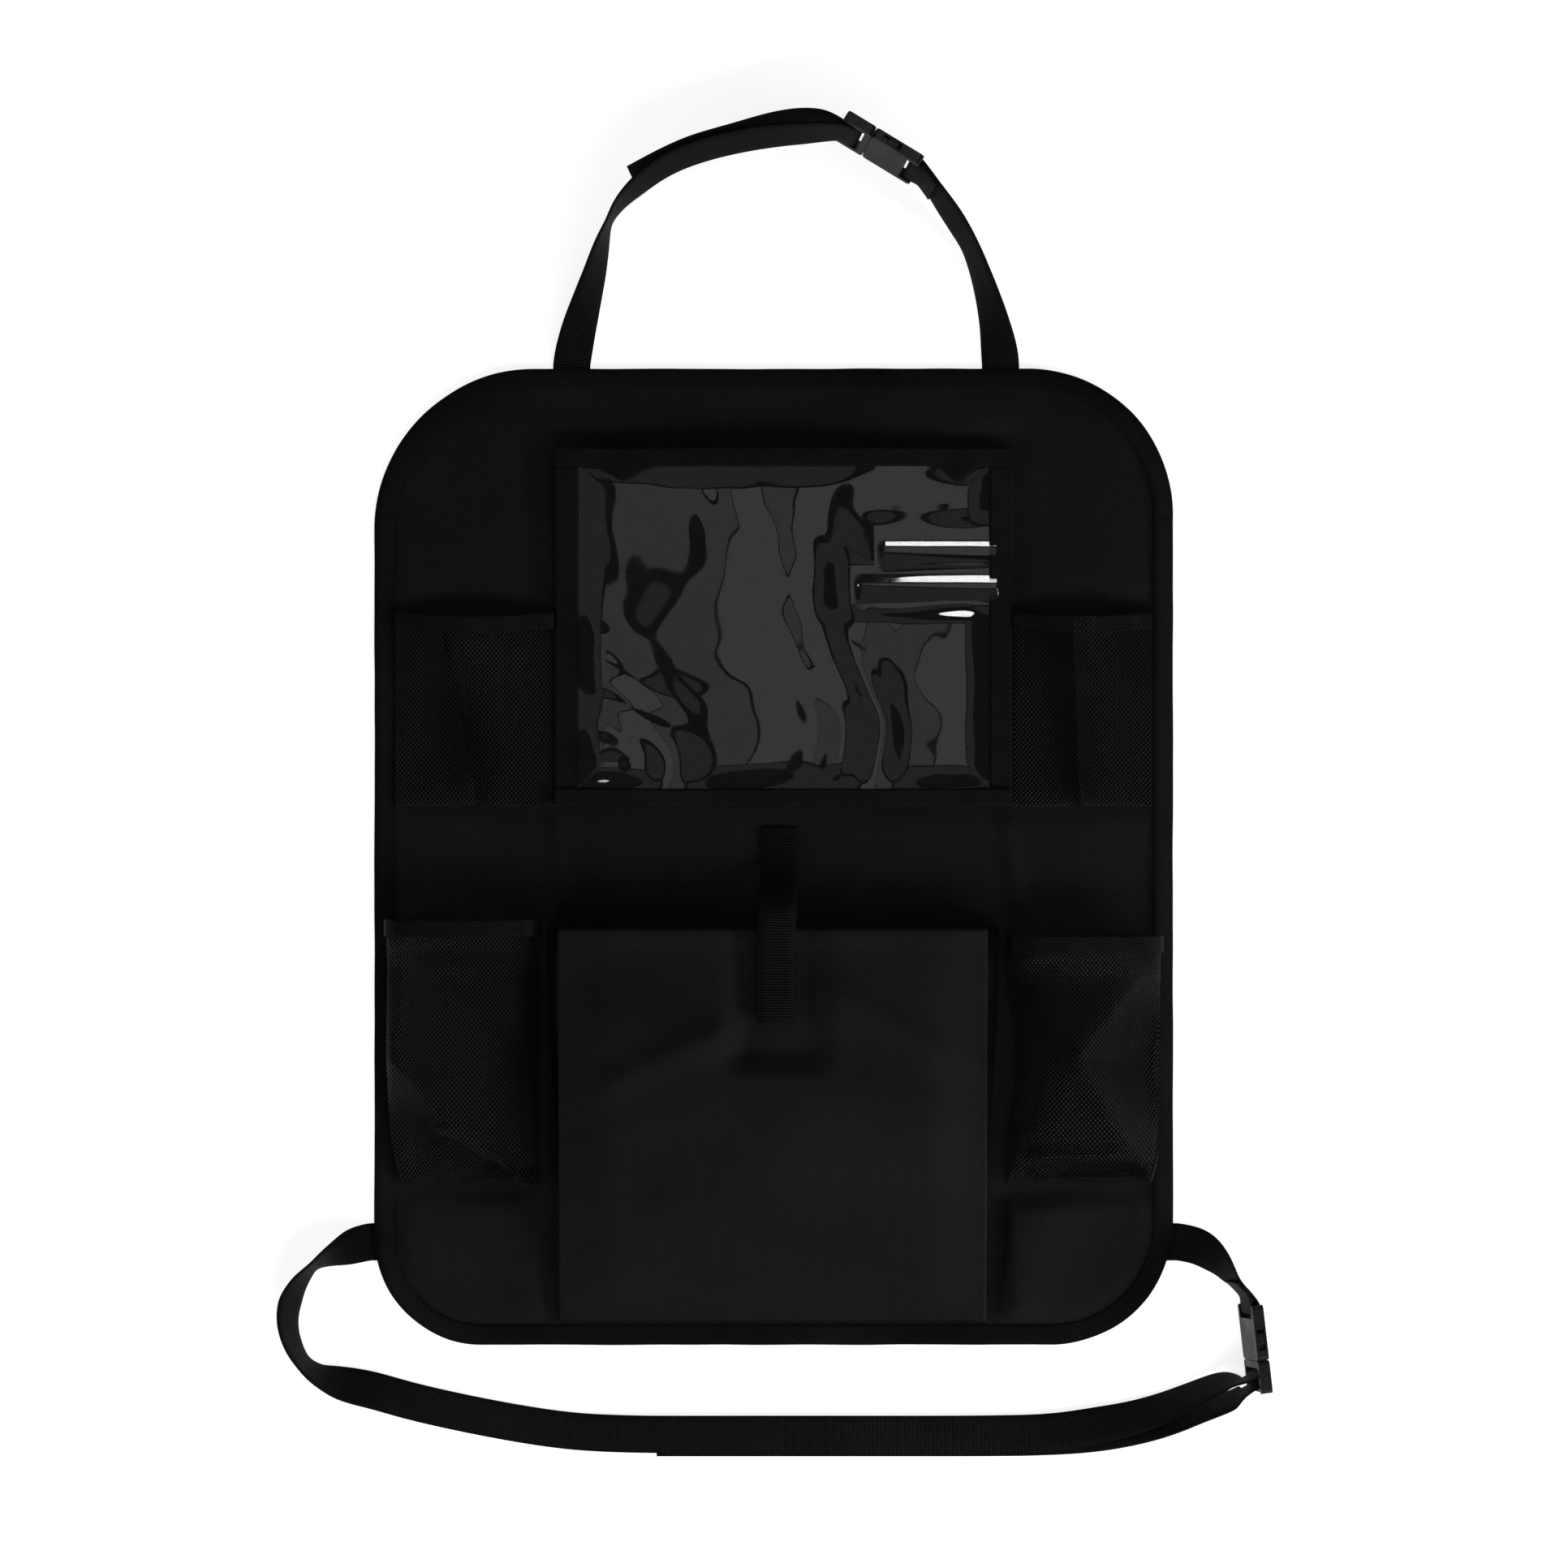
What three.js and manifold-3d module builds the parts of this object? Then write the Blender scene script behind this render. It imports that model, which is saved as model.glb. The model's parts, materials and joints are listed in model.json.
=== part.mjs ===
// Car seat back organizer, lying on its back as it would on a table.
// Millimetres. +X is to the organizer's right, +Y is towards its top, +Z comes out of its front.
// The origin is the middle of the panel, on its back face.
import * as THREE from 'three';
import Module from 'manifold-3d';
import { mergeVertices } from 'three/addons/utils/BufferGeometryUtils.js';

const wasm = await Module();
wasm.setup();

// Panel and its edge binding
const PANEL_WIDTH = 450;
const PANEL_HEIGHT = 550;
const CORNER_TOP_LEFT = 91;
const CORNER_TOP_RIGHT = 82;
const CORNER_BOTTOM_RIGHT = 69;
const CORNER_BOTTOM_LEFT = 61;
const CANVAS = 1.2;
const BINDING_WIDTH = 11.5;
const BINDING_TAPE = 0.6;
const RIM_SLOPE = 8;
const FIT = 0.3;

// Webbing, and where each strap leaves the panel
const WEBBING_WIDTH = 21;
const WEBBING = 1.2;
const STRAP_TUCK = 7;
const STRAP_REST = 0.35;
const TOP_LEFT_STRAP_X = -113.8;
const TOP_RIGHT_STRAP_X = 127.8;
const SIDE_STRAP_UP = 58;

// Tablet pocket with its clear window
const TABLET_LEFT = -123.3;
const TABLET_RIGHT = 134.5;
const TABLET_TOP = 230.5;
const TABLET_BOTTOM = 29.1;
const TABLET_SIDE_TAPE = 13;
const TABLET_BOTTOM_TAPE = 9.2;
const TABLET_TOP_TAPE = 10.5;
const TABLET_LIFT = 8;
const TABLET_SIDE_LIFT = 3;
const WINDOW_SHEET = 0.6;
const WINDOW_MARGIN = 6;
const TAPE = 1;

// Upper mesh pockets
const UPPER_POCKET_TOP = 138;
const UPPER_POCKET_BOTTOM = 28.5;
const UPPER_POCKET_LIFT = 8;
const PLEAT_HEIGHT = 3;
const MESH = 0.9;
const HEM_HEIGHT = 9.5;
const HEM_GAP = 0.6;

// Lower mesh pockets
const LOWER_LEFT_TOP = -35;
const LOWER_RIGHT_TOP = -44;
const LOWER_POCKET_BOTTOM = -185;
const LOWER_POCKET_INNER = 130.5;
const LOWER_POCKET_DEPTH = 28;
const LOWER_POCKET_OVERHANG = 14;
const FOLD_DEPTH = 10;

// Centre pocket
const CENTRE_LEFT = -120.8;
const CENTRE_RIGHT = 119.8;
const CENTRE_TOP = -40.1;
const CENTRE_BOTTOM = -262;
const CENTRE_DEPTH = 22;
const CENTRE_FOOT = 2.4;
const CENTRE_BELLY = 4;
const GUSSET_SPREAD = 9;
const GUSSET_END = -236;

// Closure tab with its hook and loop patches, and the side label
const TAB_X = 2.4;
const TAB_TOP = 16.3;
const TAB_SEWN = 16;
const TAB_END = -92.7;
const TAB_ARCH = 5;
const PATCH_WIDTH = 20;
const PATCH_LENGTH = 34;
const PATCH = 1;
const LABEL_WIDTH = 5;
const LABEL_LENGTH = 18;
const LABEL = 0.6;
const LABEL_Y = -169;

// Side release buckles: where each one's adjuster end lies, and the way that it points
const TOP_BUCKLE_X = 37.9;
const TOP_BUCKLE_UP = 136.3;
const TOP_BUCKLE_HEADING = -31.3;
const TOP_BUCKLE_ROLL = 68;
const LOWER_BUCKLE_OUT = 48.2;
const LOWER_BUCKLE_DOWN = 25.5;
const LOWER_BUCKLE_HEADING = 96.5;
const LOWER_BUCKLE_ROLL = 77;
const BUCKLE_WIDTH = 27.6;
const BUCKLE_THICKNESS = 6.6;
const RAIL = 2.6;
const BAR = 3;
const BAR_THICKNESS = 2.4;
const SLOT = 4;
const SLEEVE_LENGTH = 23.4;
const SLEEVE_WALL = 1.3;
const SHOULDER = 4;
const PRONG_LENGTH = 17;
const PRONG_WIDTH = 4.4;
const GUIDE_WIDTH = 6;
const WINDOW_LENGTH = 11;

const CANVAS_BLACK = { color: 0x141416, roughness: 0.85, metalness: 0 };
const MESH_BLACK = { color: 0x101012, roughness: 0.8, metalness: 0 };
const TAPE_BLACK = { color: 0x161618, roughness: 0.8, metalness: 0 };
const WEBBING_BLACK = { color: 0x131315, roughness: 0.75, metalness: 0 };
const CLEAR_VINYL = { color: 0x55555a, roughness: 0.1, metalness: 0, transparent: true, opacity: 0.35 };
const BUCKLE_BLACK = { color: 0x1e1e21, roughness: 0.45, metalness: 0 };
const LABEL_GREY = { color: 0x8a8a8c, roughness: 0.7, metalness: 0 };

const TOP_EDGE = PANEL_HEIGHT / 2;
const BOTTOM_EDGE = -PANEL_HEIGHT / 2;
const LEFT_EDGE = -PANEL_WIDTH / 2;
const RIGHT_EDGE = PANEL_WIDTH / 2;
const RIM_BOTTOM = BINDING_TAPE + FIT;
const RIM_TOP = RIM_BOTTOM + CANVAS;
const BINDING_TOP = RIM_TOP + FIT + BINDING_TAPE;
const RIM_END = BINDING_WIDTH + FIT;
const ARC_STEPS = 9;

const group = new THREE.Group();

const smooth = (from, to, value) => THREE.MathUtils.smoothstep(value, from, to);
const bump = (value, middle, half) => Math.exp(-(((value - middle) / half) ** 2));

// Triangles from a list of closed rings, joined one to the next; the first and last are capped
// unless the rings close on each other.
function loftRings(rings, closed = false) {
  const count = rings[0].length;
  const positions = rings.flat().flatMap((point) => [point.x, point.y, point.z]);
  const faces = [];
  const spans = closed ? rings.length : rings.length - 1;
  for (let i = 0; i < spans; i += 1) {
    const here = i * count;
    const next = ((i + 1) % rings.length) * count;
    for (let j = 0; j < count; j += 1) {
      const k = (j + 1) % count;
      faces.push(here + j, here + k, next + k, here + j, next + k, next + j);
    }
  }
  if (!closed) {
    const last = (rings.length - 1) * count;
    const bottom = capTriangles(rings[0]);
    const top = capTriangles(rings[rings.length - 1]);
    for (const [a, b, c] of bottom) {
      faces.push(c, b, a);
    }
    for (const [a, b, c] of top) {
      faces.push(last + a, last + b, last + c);
    }
  }
  return outward(positions, faces);
}

// A four-cornered ring is capped by two triangles, and a longer, level one by triangulating its plan.
function capTriangles(ring) {
  if (ring.length === 4) {
    return [[0, 1, 2], [0, 2, 3]];
  }
  const plan = ring.map((point) => new THREE.Vector2(point.x, point.y));
  return THREE.ShapeUtils.triangulateShape(plan, []);
}

// A geometry whose faces point out, whichever way round its triangles came.
function outward(positions, faces) {
  let volume = 0;
  const corner = (index) => new THREE.Vector3().fromArray(positions, index * 3);
  for (let i = 0; i < faces.length; i += 3) {
    const [a, b, c] = [corner(faces[i]), corner(faces[i + 1]), corner(faces[i + 2])];
    volume += a.dot(b.cross(c));
  }
  const geometry = new THREE.BufferGeometry();
  geometry.setAttribute('position', new THREE.Float32BufferAttribute(positions, 3));
  geometry.setIndex(volume < 0 ? faces.slice().reverse() : faces);
  geometry.computeVertexNormals();
  return geometry;
}

// A thin closed shell: a grid of points, and the same grid moved along each point's offset.
function shell(columns, rows, pointAt, thickness, alongNormal = false) {
  const outer = [];
  for (let j = 0; j <= rows; j += 1) {
    for (let i = 0; i <= columns; i += 1) {
      outer.push(pointAt(i / columns, j / rows));
    }
  }
  const width = columns + 1;
  const at = (i, j) => outer[THREE.MathUtils.clamp(j, 0, rows) * width + THREE.MathUtils.clamp(i, 0, columns)];
  const inner = outer.map((point, index) => {
    const i = index % width;
    const j = Math.floor(index / width);
    const across = at(i + 1, j).clone().sub(at(i - 1, j));
    const along = at(i, j + 1).clone().sub(at(i, j - 1));
    const normal = alongNormal ? across.cross(along).normalize() : new THREE.Vector3(0, 0, 1);
    return point.clone().addScaledVector(normal, thickness);
  });
  const positions = [...outer, ...inner].flatMap((point) => [point.x, point.y, point.z]);
  const faces = [];
  const quad = (a, b, c, d) => faces.push(a, b, c, a, c, d);
  const lift = outer.length;
  for (let j = 0; j < rows; j += 1) {
    for (let i = 0; i < columns; i += 1) {
      const a = j * width + i;
      quad(a + width, a + width + 1, a + 1, a);
      quad(a + lift, a + 1 + lift, a + width + 1 + lift, a + width + lift);
    }
  }
  for (let i = 0; i < columns; i += 1) {
    const far = rows * width + i;
    quad(i, i + 1, i + 1 + lift, i + lift);
    quad(far + 1, far, far + lift, far + 1 + lift);
  }
  for (let j = 0; j < rows; j += 1) {
    const near = j * width;
    const far = j * width + columns;
    quad(near + width, near, near + lift, near + width + lift);
    quad(far, far + width, far + width + lift, far + lift);
  }
  return outward(positions, faces);
}

function toSolid(geometry) {
  const bare = geometry.clone();
  bare.deleteAttribute('normal');
  bare.deleteAttribute('uv');
  const merged = mergeVertices(bare, 1e-4);
  return new wasm.Manifold(new wasm.Mesh({
    numProp: 3,
    vertProperties: new Float32Array(merged.attributes.position.array),
    triVerts: new Uint32Array(merged.index.array),
  }));
}

function fromSolid(solid) {
  const mesh = solid.getMesh();
  const geometry = new THREE.BufferGeometry();
  geometry.setAttribute('position', new THREE.BufferAttribute(new Float32Array(mesh.vertProperties), 3));
  geometry.setIndex(new THREE.BufferAttribute(new Uint32Array(mesh.triVerts), 1));
  geometry.computeVertexNormals();
  return geometry;
}

// A box between two corners, as a solid
function block(from, to) {
  const size = to.clone().sub(from);
  const geometry = new THREE.BoxGeometry(size.x, size.y, size.z);
  const middle = from.clone().add(to).multiplyScalar(0.5);
  return toSolid(geometry.translate(middle.x, middle.y, middle.z));
}

function addPiece(name, geometry, finish) {
  const mesh = new THREE.Mesh(geometry, new THREE.MeshStandardMaterial(finish));
  mesh.name = name;
  group.add(mesh);
  return mesh;
}

// The panel's outline with its four different corners, moved in by an inset, at one height
function outline(inset, z) {
  const halfWidth = PANEL_WIDTH / 2;
  const halfHeight = PANEL_HEIGHT / 2;
  const corners = [
    [1, 1, CORNER_TOP_RIGHT],
    [-1, 1, CORNER_TOP_LEFT],
    [-1, -1, CORNER_BOTTOM_LEFT],
    [1, -1, CORNER_BOTTOM_RIGHT],
  ];
  return corners.flatMap(([sideX, sideY, radius], quarter) => {
    const centreX = sideX * (halfWidth - radius);
    const centreY = sideY * (halfHeight - radius);
    return Array.from({ length: ARC_STEPS + 1 }, (_, step) => {
      const angle = (quarter + step / ARC_STEPS) * (Math.PI / 2);
      const reach = radius - inset;
      return new THREE.Vector3(centreX + reach * Math.cos(angle), centreY + reach * Math.sin(angle), z);
    });
  });
}

// Height of the panel's front surface: it drops from the bound rim to the middle, which lies flat.
function panelFront(x, y) {
  const inset = Math.min(PANEL_WIDTH / 2 - Math.abs(x), PANEL_HEIGHT / 2 - Math.abs(y));
  const slope = THREE.MathUtils.clamp((inset - RIM_END) / RIM_SLOPE, 0, 1);
  return THREE.MathUtils.lerp(RIM_TOP, CANVAS, slope);
}

const seat = (x, y) => panelFront(x, y) + FIT;

const SIDE_STRAP_Y = BOTTOM_EDGE + SIDE_STRAP_UP;

// The four places where a strap end is caught in the binding: the middle of the edge there, and the
// direction that the strap leaves in.
const STRAP_ROOTS = {
  topLeft: { edge: new THREE.Vector3(TOP_LEFT_STRAP_X, TOP_EDGE, 0), out: new THREE.Vector3(0, 1, 0) },
  topRight: { edge: new THREE.Vector3(TOP_RIGHT_STRAP_X, TOP_EDGE, 0), out: new THREE.Vector3(0, 1, 0) },
  sideLeft: { edge: new THREE.Vector3(LEFT_EDGE, SIDE_STRAP_Y, 0), out: new THREE.Vector3(-1, 0, 0) },
  sideRight: { edge: new THREE.Vector3(RIGHT_EDGE, SIDE_STRAP_Y, 0), out: new THREE.Vector3(1, 0, 0) },
};
const STRAP_MIDDLE = RIM_BOTTOM + WEBBING / 2;

// The room that a strap end takes in the edge, with clearance all round
function strapPassage({ edge, out }, depth) {
  const half = WEBBING_WIDTH / 2 + FIT;
  const side = new THREE.Vector3(Math.abs(out.y), Math.abs(out.x), 0).multiplyScalar(half);
  const from = edge.clone().addScaledVector(out, -depth).sub(side);
  const to = edge.clone().addScaledVector(out, 1).add(side);
  const low = from.clone().min(to).setZ(RIM_BOTTOM - FIT);
  const high = from.clone().max(to).setZ(RIM_BOTTOM + WEBBING + FIT);
  return block(low, high);
}

function backPanel() {
  const outerEdge = BINDING_TAPE + FIT;
  const flat = RIM_END + RIM_SLOPE;
  const rings = [
    outline(flat, 0),
    outline(RIM_END, RIM_BOTTOM),
    outline(outerEdge, RIM_BOTTOM),
    outline(outerEdge, RIM_TOP),
    outline(RIM_END, RIM_TOP),
    outline(flat, CANVAS),
  ];
  let solid = toSolid(loftRings(rings));
  for (const root of Object.values(STRAP_ROOTS)) {
    solid = solid.subtract(strapPassage(root, STRAP_TUCK + FIT));
  }
  addPiece('back_panel', fromSolid(solid), CANVAS_BLACK);
}

// The binding is a tape folded over the panel's edge: a U in section, swept round the outline.
function edgeBinding() {
  const round = BINDING_TAPE;
  const section = [
    [BINDING_WIDTH, 0],
    [round, 0],
    [0, round],
    [0, BINDING_TOP - round],
    [round, BINDING_TOP],
    [BINDING_WIDTH, BINDING_TOP],
    [BINDING_WIDTH, BINDING_TOP - BINDING_TAPE],
    [BINDING_TAPE, BINDING_TOP - BINDING_TAPE],
    [BINDING_TAPE, BINDING_TAPE],
    [BINDING_WIDTH, BINDING_TAPE],
  ];
  let solid = toSolid(loftRings(section.map(([inset, z]) => outline(inset, z)), true));
  for (const root of Object.values(STRAP_ROOTS)) {
    solid = solid.subtract(strapPassage(root, STRAP_TUCK + FIT));
  }
  addPiece('edge_binding', fromSolid(solid), TAPE_BLACK);
}

// How far the tablet pocket's sheet stands off its seat: it opens at the top and is sewn at the
// other three sides, and the soft vinyl has slow waves in it.
function tabletLift(x, y) {
  const across = (x - TABLET_LEFT) / (TABLET_RIGHT - TABLET_LEFT);
  const up = (y - TABLET_BOTTOM) / (TABLET_TOP - TABLET_BOTTOM);
  const open = smooth(0.3, 1, up);
  const crown = Math.sin(Math.PI * THREE.MathUtils.clamp(across, 0, 1));
  const side = TABLET_SIDE_LIFT * (1.3 - across) * smooth(0.55, 1, up);
  const waves = 1.1 * crown * Math.sin(Math.PI * up) * (1 + Math.sin(9 * across + 4 * up) * Math.cos(7 * up));
  return side + (TABLET_LIFT - TABLET_SIDE_LIFT) * open * crown + waves;
}

const tabletSheet = (x, y) => CANVAS + FIT + tabletLift(x, y);

// A strip of tape or hem over a rectangle, on a height that varies along it
function strip(columns, rows, [left, right], [bottom, top], heightAt, thickness) {
  return shell(columns, rows, (u, v) => {
    const x = THREE.MathUtils.lerp(left, right, u);
    const low = typeof bottom === 'function' ? bottom(x) : bottom;
    const high = typeof top === 'function' ? top(x) : top;
    const y = THREE.MathUtils.lerp(low, high, v);
    return new THREE.Vector3(x, y, heightAt(x, y));
  }, thickness);
}

function tabletPocket() {
  addPiece('tablet_window', strip(
    20, 14,
    [TABLET_LEFT + WINDOW_MARGIN, TABLET_RIGHT - WINDOW_MARGIN],
    [TABLET_BOTTOM + WINDOW_MARGIN / 2, TABLET_TOP - WINDOW_MARGIN / 2],
    tabletSheet, WINDOW_SHEET,
  ), CLEAR_VINYL);
  const onSheet = (x, y) => tabletSheet(x, y) + WINDOW_SHEET + FIT;
  const sideTape = (name, from) => addPiece(name, strip(
    1, 14, [from, from + TABLET_SIDE_TAPE], [TABLET_BOTTOM + TAPE, TABLET_TOP - TAPE], onSheet, TAPE,
  ), TAPE_BLACK);
  sideTape('tablet_border_left', TABLET_LEFT);
  sideTape('tablet_border_right', TABLET_RIGHT - TABLET_SIDE_TAPE);
  // The cross tapes step up over the side tapes at both ends.
  const crossTape = (x, y) => {
    const fromEnd = Math.min(x - TABLET_LEFT, TABLET_RIGHT - x);
    const step = 1 - smooth(TABLET_SIDE_TAPE + 8, TABLET_SIDE_TAPE + 15, fromEnd);
    return onSheet(x, y) + step * (TAPE + FIT);
  };
  addPiece('tablet_border_bottom', strip(
    32, 1, [TABLET_LEFT, TABLET_RIGHT], [TABLET_BOTTOM, TABLET_BOTTOM + TABLET_BOTTOM_TAPE], crossTape, TAPE,
  ), TAPE_BLACK);
  const droop = (x) => TABLET_TOP - TABLET_TOP_TAPE - 4.5 * bump(x, -85, 13) - 5.5 * bump(x, 104, 7);
  addPiece('tablet_border_top', strip(
    36, 1, [TABLET_LEFT, TABLET_RIGHT], [droop, TABLET_TOP], crossTape, TAPE,
  ), TAPE_BLACK);
}

// An upper mesh pocket: nearly flat, open at the top, with one pleat that runs down it at a slant.
function upperPocket(side, [left, right], [pleatTop, pleatBottom]) {
  const heightAt = (x, y) => {
    const across = (x - left) / (right - left);
    const up = (y - UPPER_POCKET_BOTTOM) / (UPPER_POCKET_TOP - UPPER_POCKET_BOTTOM);
    const crown = Math.sin(Math.PI * THREE.MathUtils.clamp(across, 0, 1));
    const pleatX = THREE.MathUtils.lerp(pleatBottom, pleatTop, up);
    const beside = x - pleatX;
    const pleat = PLEAT_HEIGHT * (beside < 0 ? smooth(-16, 0, beside) : 1 - smooth(0, 3, beside));
    const lift = UPPER_POCKET_LIFT * crown * smooth(-0.1, 1, up);
    return seat(x, y) + lift + pleat * crown * (1 - smooth(0.75, 1, up)) * smooth(0, 0.1, up);
  };
  const sag = (x) => 2.5 * Math.sin((Math.PI * (x - left)) / (right - left));
  const top = (x) => UPPER_POCKET_TOP - sag(x);
  addPiece(`upper_${side}_mesh`, strip(
    20, 10, [left, right], [UPPER_POCKET_BOTTOM, (x) => top(x) - FIT], heightAt, MESH,
  ), MESH_BLACK);
  addPiece(`upper_${side}_hem`, strip(
    20, 1, [left, right], [(x) => top(x) - HEM_HEIGHT, top], (x, y) => heightAt(x, y) + MESH + HEM_GAP, TAPE,
  ), TAPE_BLACK);
}

// A lower mesh pocket: a deep gusseted bag, open at the top. Across it is an arch that stands up from
// its two seams and hangs over the outer one, and its collapsed front is folded along creases.
function lowerPocket(side, mirror, top, foldAt) {
  const outerSeam = mirror * (PANEL_WIDTH / 2 - RIM_END);
  const innerSeam = mirror * LOWER_POCKET_INNER;
  const surface = (u, v, lift) => {
    const drop = Math.sin((v * Math.PI) / 2);
    const y = THREE.MathUtils.lerp(top, LOWER_POCKET_BOTTOM, drop);
    const angle = Math.PI * u;
    const rise = Math.sin(angle) ** 0.55;
    const spread = Math.sign(Math.cos(angle)) * Math.abs(Math.cos(angle)) ** 0.75;
    const fullness = Math.sqrt(Math.max(0, 1 - drop ** 7));
    const hang = LOWER_POCKET_OVERHANG * Math.max(0, Math.sin(2 * angle)) * fullness;
    const pinch = 5 * Math.max(0, -Math.sin(2 * angle)) * Math.sin(Math.PI * drop);
    const middle = (outerSeam + innerSeam) / 2;
    const half = (outerSeam - innerSeam) / 2;
    const x = middle + (half + mirror * lift) * spread + mirror * (hang + pinch);
    const depth = LOWER_POCKET_DEPTH * fullness * (0.9 + 0.1 * Math.sin(Math.PI * drop));
    const belowHem = smooth(HEM_HEIGHT, HEM_HEIGHT * 2.5, top - y);
    const fold = foldAt(Math.abs(x), y) * rise * fullness * belowHem;
    const edge = THREE.MathUtils.clamp(x, -Math.abs(outerSeam), Math.abs(outerSeam));
    const foot = MESH * 1.3 * drop ** 6;
    return new THREE.Vector3(x, y, seat(edge, y) + foot + (depth - fold) * rise + lift * rise);
  };
  addPiece(`lower_${side}_mesh`, shell(20, 14, (u, v) => surface(u, v, 0), -mirror * MESH, true), MESH_BLACK);
  const hemEnd = (2 / Math.PI) * Math.asin(HEM_HEIGHT / (top - LOWER_POCKET_BOTTOM));
  const hemPoint = (u, v) => surface(0.1 + 0.8 * u, v * hemEnd, TAPE + HEM_GAP);
  addPiece(`lower_${side}_hem`, shell(16, 1, hemPoint, -mirror * TAPE, true), TAPE_BLACK);
  return surface;
}

// Signed distance of a point from the line between two points, positive on the left of the line
function besideLine(x, y, [ax, ay], [bx, by]) {
  const length = Math.hypot(bx - ax, by - ay);
  return ((bx - ax) * (y - ay) - (by - ay) * (x - ax)) / length;
}

// Left pocket: below a crease that runs from the outer edge to the inner bottom corner the mesh drops.
function leftFold(x, y) {
  const below = -besideLine(x, y, [143, -181], [208, -124]);
  return -FOLD_DEPTH * 0.3 * bump(below, 0, 6) + FOLD_DEPTH * smooth(2, 30, below);
}

// Right pocket: the outer side splays into a triangle that falls away from a bent crease.
function rightFold(x, y) {
  const upper = besideLine(x, y, [170, -110], [216, -50]);
  const lower = besideLine(x, y, [216, -184], [170, -110]);
  const inside = Math.min(-upper, -lower);
  return -FOLD_DEPTH * 0.3 * bump(inside, 0, 6) + FOLD_DEPTH * 1.6 * smooth(2, 34, inside);
}

// Height of the underside of the centre pocket's front
function centreFront(x, y) {
  const across = THREE.MathUtils.clamp((x - CENTRE_LEFT) / (CENTRE_RIGHT - CENTRE_LEFT), 0, 1);
  const up = THREE.MathUtils.clamp((y - CENTRE_BOTTOM) / (CENTRE_TOP - CENTRE_BOTTOM), 0, 1);
  const crown = Math.sin(Math.PI * across);
  const belly = CENTRE_BELLY * crown * Math.sin(Math.PI * up);
  return seat(0, y) + CENTRE_FOOT + (CENTRE_DEPTH - CENTRE_FOOT) * up ** 0.85 + belly * Math.sqrt(up);
}

function centrePocket() {
  const rows = 14;
  const frontPoint = (u, v) => {
    const x = THREE.MathUtils.lerp(CENTRE_LEFT, CENTRE_RIGHT, u);
    const y = THREE.MathUtils.lerp(CENTRE_BOTTOM, CENTRE_TOP, v);
    const foot = smooth(0, 1.5 / rows, v);
    const z = THREE.MathUtils.lerp(seat(0, y), centreFront(x, y), foot);
    return new THREE.Vector3(x, y, z);
  };
  addPiece('centre_pocket_front', shell(12, rows, frontPoint, CANVAS), CANVAS_BLACK);
  const gusset = (name, edge, direction) => {
    const point = (u, v) => {
      const y = THREE.MathUtils.lerp(GUSSET_END, CENTRE_TOP - FIT, v);
      const spread = GUSSET_SPREAD * smooth(LOWER_POCKET_BOTTOM - 10, CENTRE_TOP, y) ** 0.5;
      const high = new THREE.Vector3(edge, y, centreFront(edge, y) - FIT - MESH);
      const low = new THREE.Vector3(edge + direction * spread, y, seat(edge, y) + MESH);
      const tuck = Math.sin(Math.PI * u) * 2;
      return low.lerp(high, u).add(new THREE.Vector3(-direction * tuck, 0, 0));
    };
    addPiece(name, shell(4, 14, point, direction * MESH, true), CANVAS_BLACK);
  };
  gusset('centre_pocket_gusset_left', CENTRE_LEFT + 2, -1);
  gusset('centre_pocket_gusset_right', CENTRE_RIGHT - 2, 1);
}

// A ribbon of webbing through stations: each holds a point and the direction of its width.
function ribbon(stations, stepsPerSpan, width, thickness) {
  const curve = new THREE.CatmullRomCurve3(stations.map(({ point }) => point), false, 'centripetal');
  const spans = stations.length - 1;
  const steps = spans * stepsPerSpan;
  const rings = Array.from({ length: steps + 1 }, (_, index) => {
    const t = index / steps;
    const span = Math.min(Math.floor(t * spans), spans - 1);
    const part = t * spans - span;
    const tangent = curve.getTangent(t);
    const across = stations[span].across.clone().lerp(stations[span + 1].across, part);
    across.addScaledVector(tangent, -across.dot(tangent)).normalize();
    const normal = across.clone().cross(tangent);
    const middle = curve.getPoint(t);
    const corner = (side, face) => middle.clone()
      .addScaledVector(across, (side * width) / 2)
      .addScaledVector(normal, (face * thickness) / 2);
    return [corner(1, 1), corner(-1, 1), corner(-1, -1), corner(1, -1)];
  });
  return loftRings(rings);
}

// A station on the table: heading from its neighbours, roll in degrees, resting on its lower edge.
// A positive roll raises the edge on the right of the way that the strap runs.
function tableStations(route) {
  return route.map(([x, y, roll, lift = 0], index) => {
    const before = route[Math.max(index - 1, 0)];
    const after = route[Math.min(index + 1, route.length - 1)];
    const heading = new THREE.Vector3(after[0] - before[0], after[1] - before[1], 0).normalize();
    const right = heading.cross(new THREE.Vector3(0, 0, 1));
    const angle = THREE.MathUtils.degToRad(roll);
    const across = right.multiplyScalar(Math.cos(angle)).add(new THREE.Vector3(0, 0, Math.sin(angle)));
    const reach = (WEBBING_WIDTH / 2) * Math.abs(Math.sin(angle)) + (WEBBING / 2) * Math.cos(angle);
    return { point: new THREE.Vector3(x, y, reach + STRAP_REST + lift), across };
  });
}

// The end of a strap that is caught in the binding, and its first straight bit outside
function rootStations({ edge, out }) {
  const right = out.clone().cross(new THREE.Vector3(0, 0, 1));
  return [-STRAP_TUCK, -STRAP_TUCK / 2, 0, 1.2, 2.4].map((along) => ({
    point: edge.clone().addScaledVector(out, along).setZ(STRAP_MIDDLE),
    across: right,
  }));
}

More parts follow.
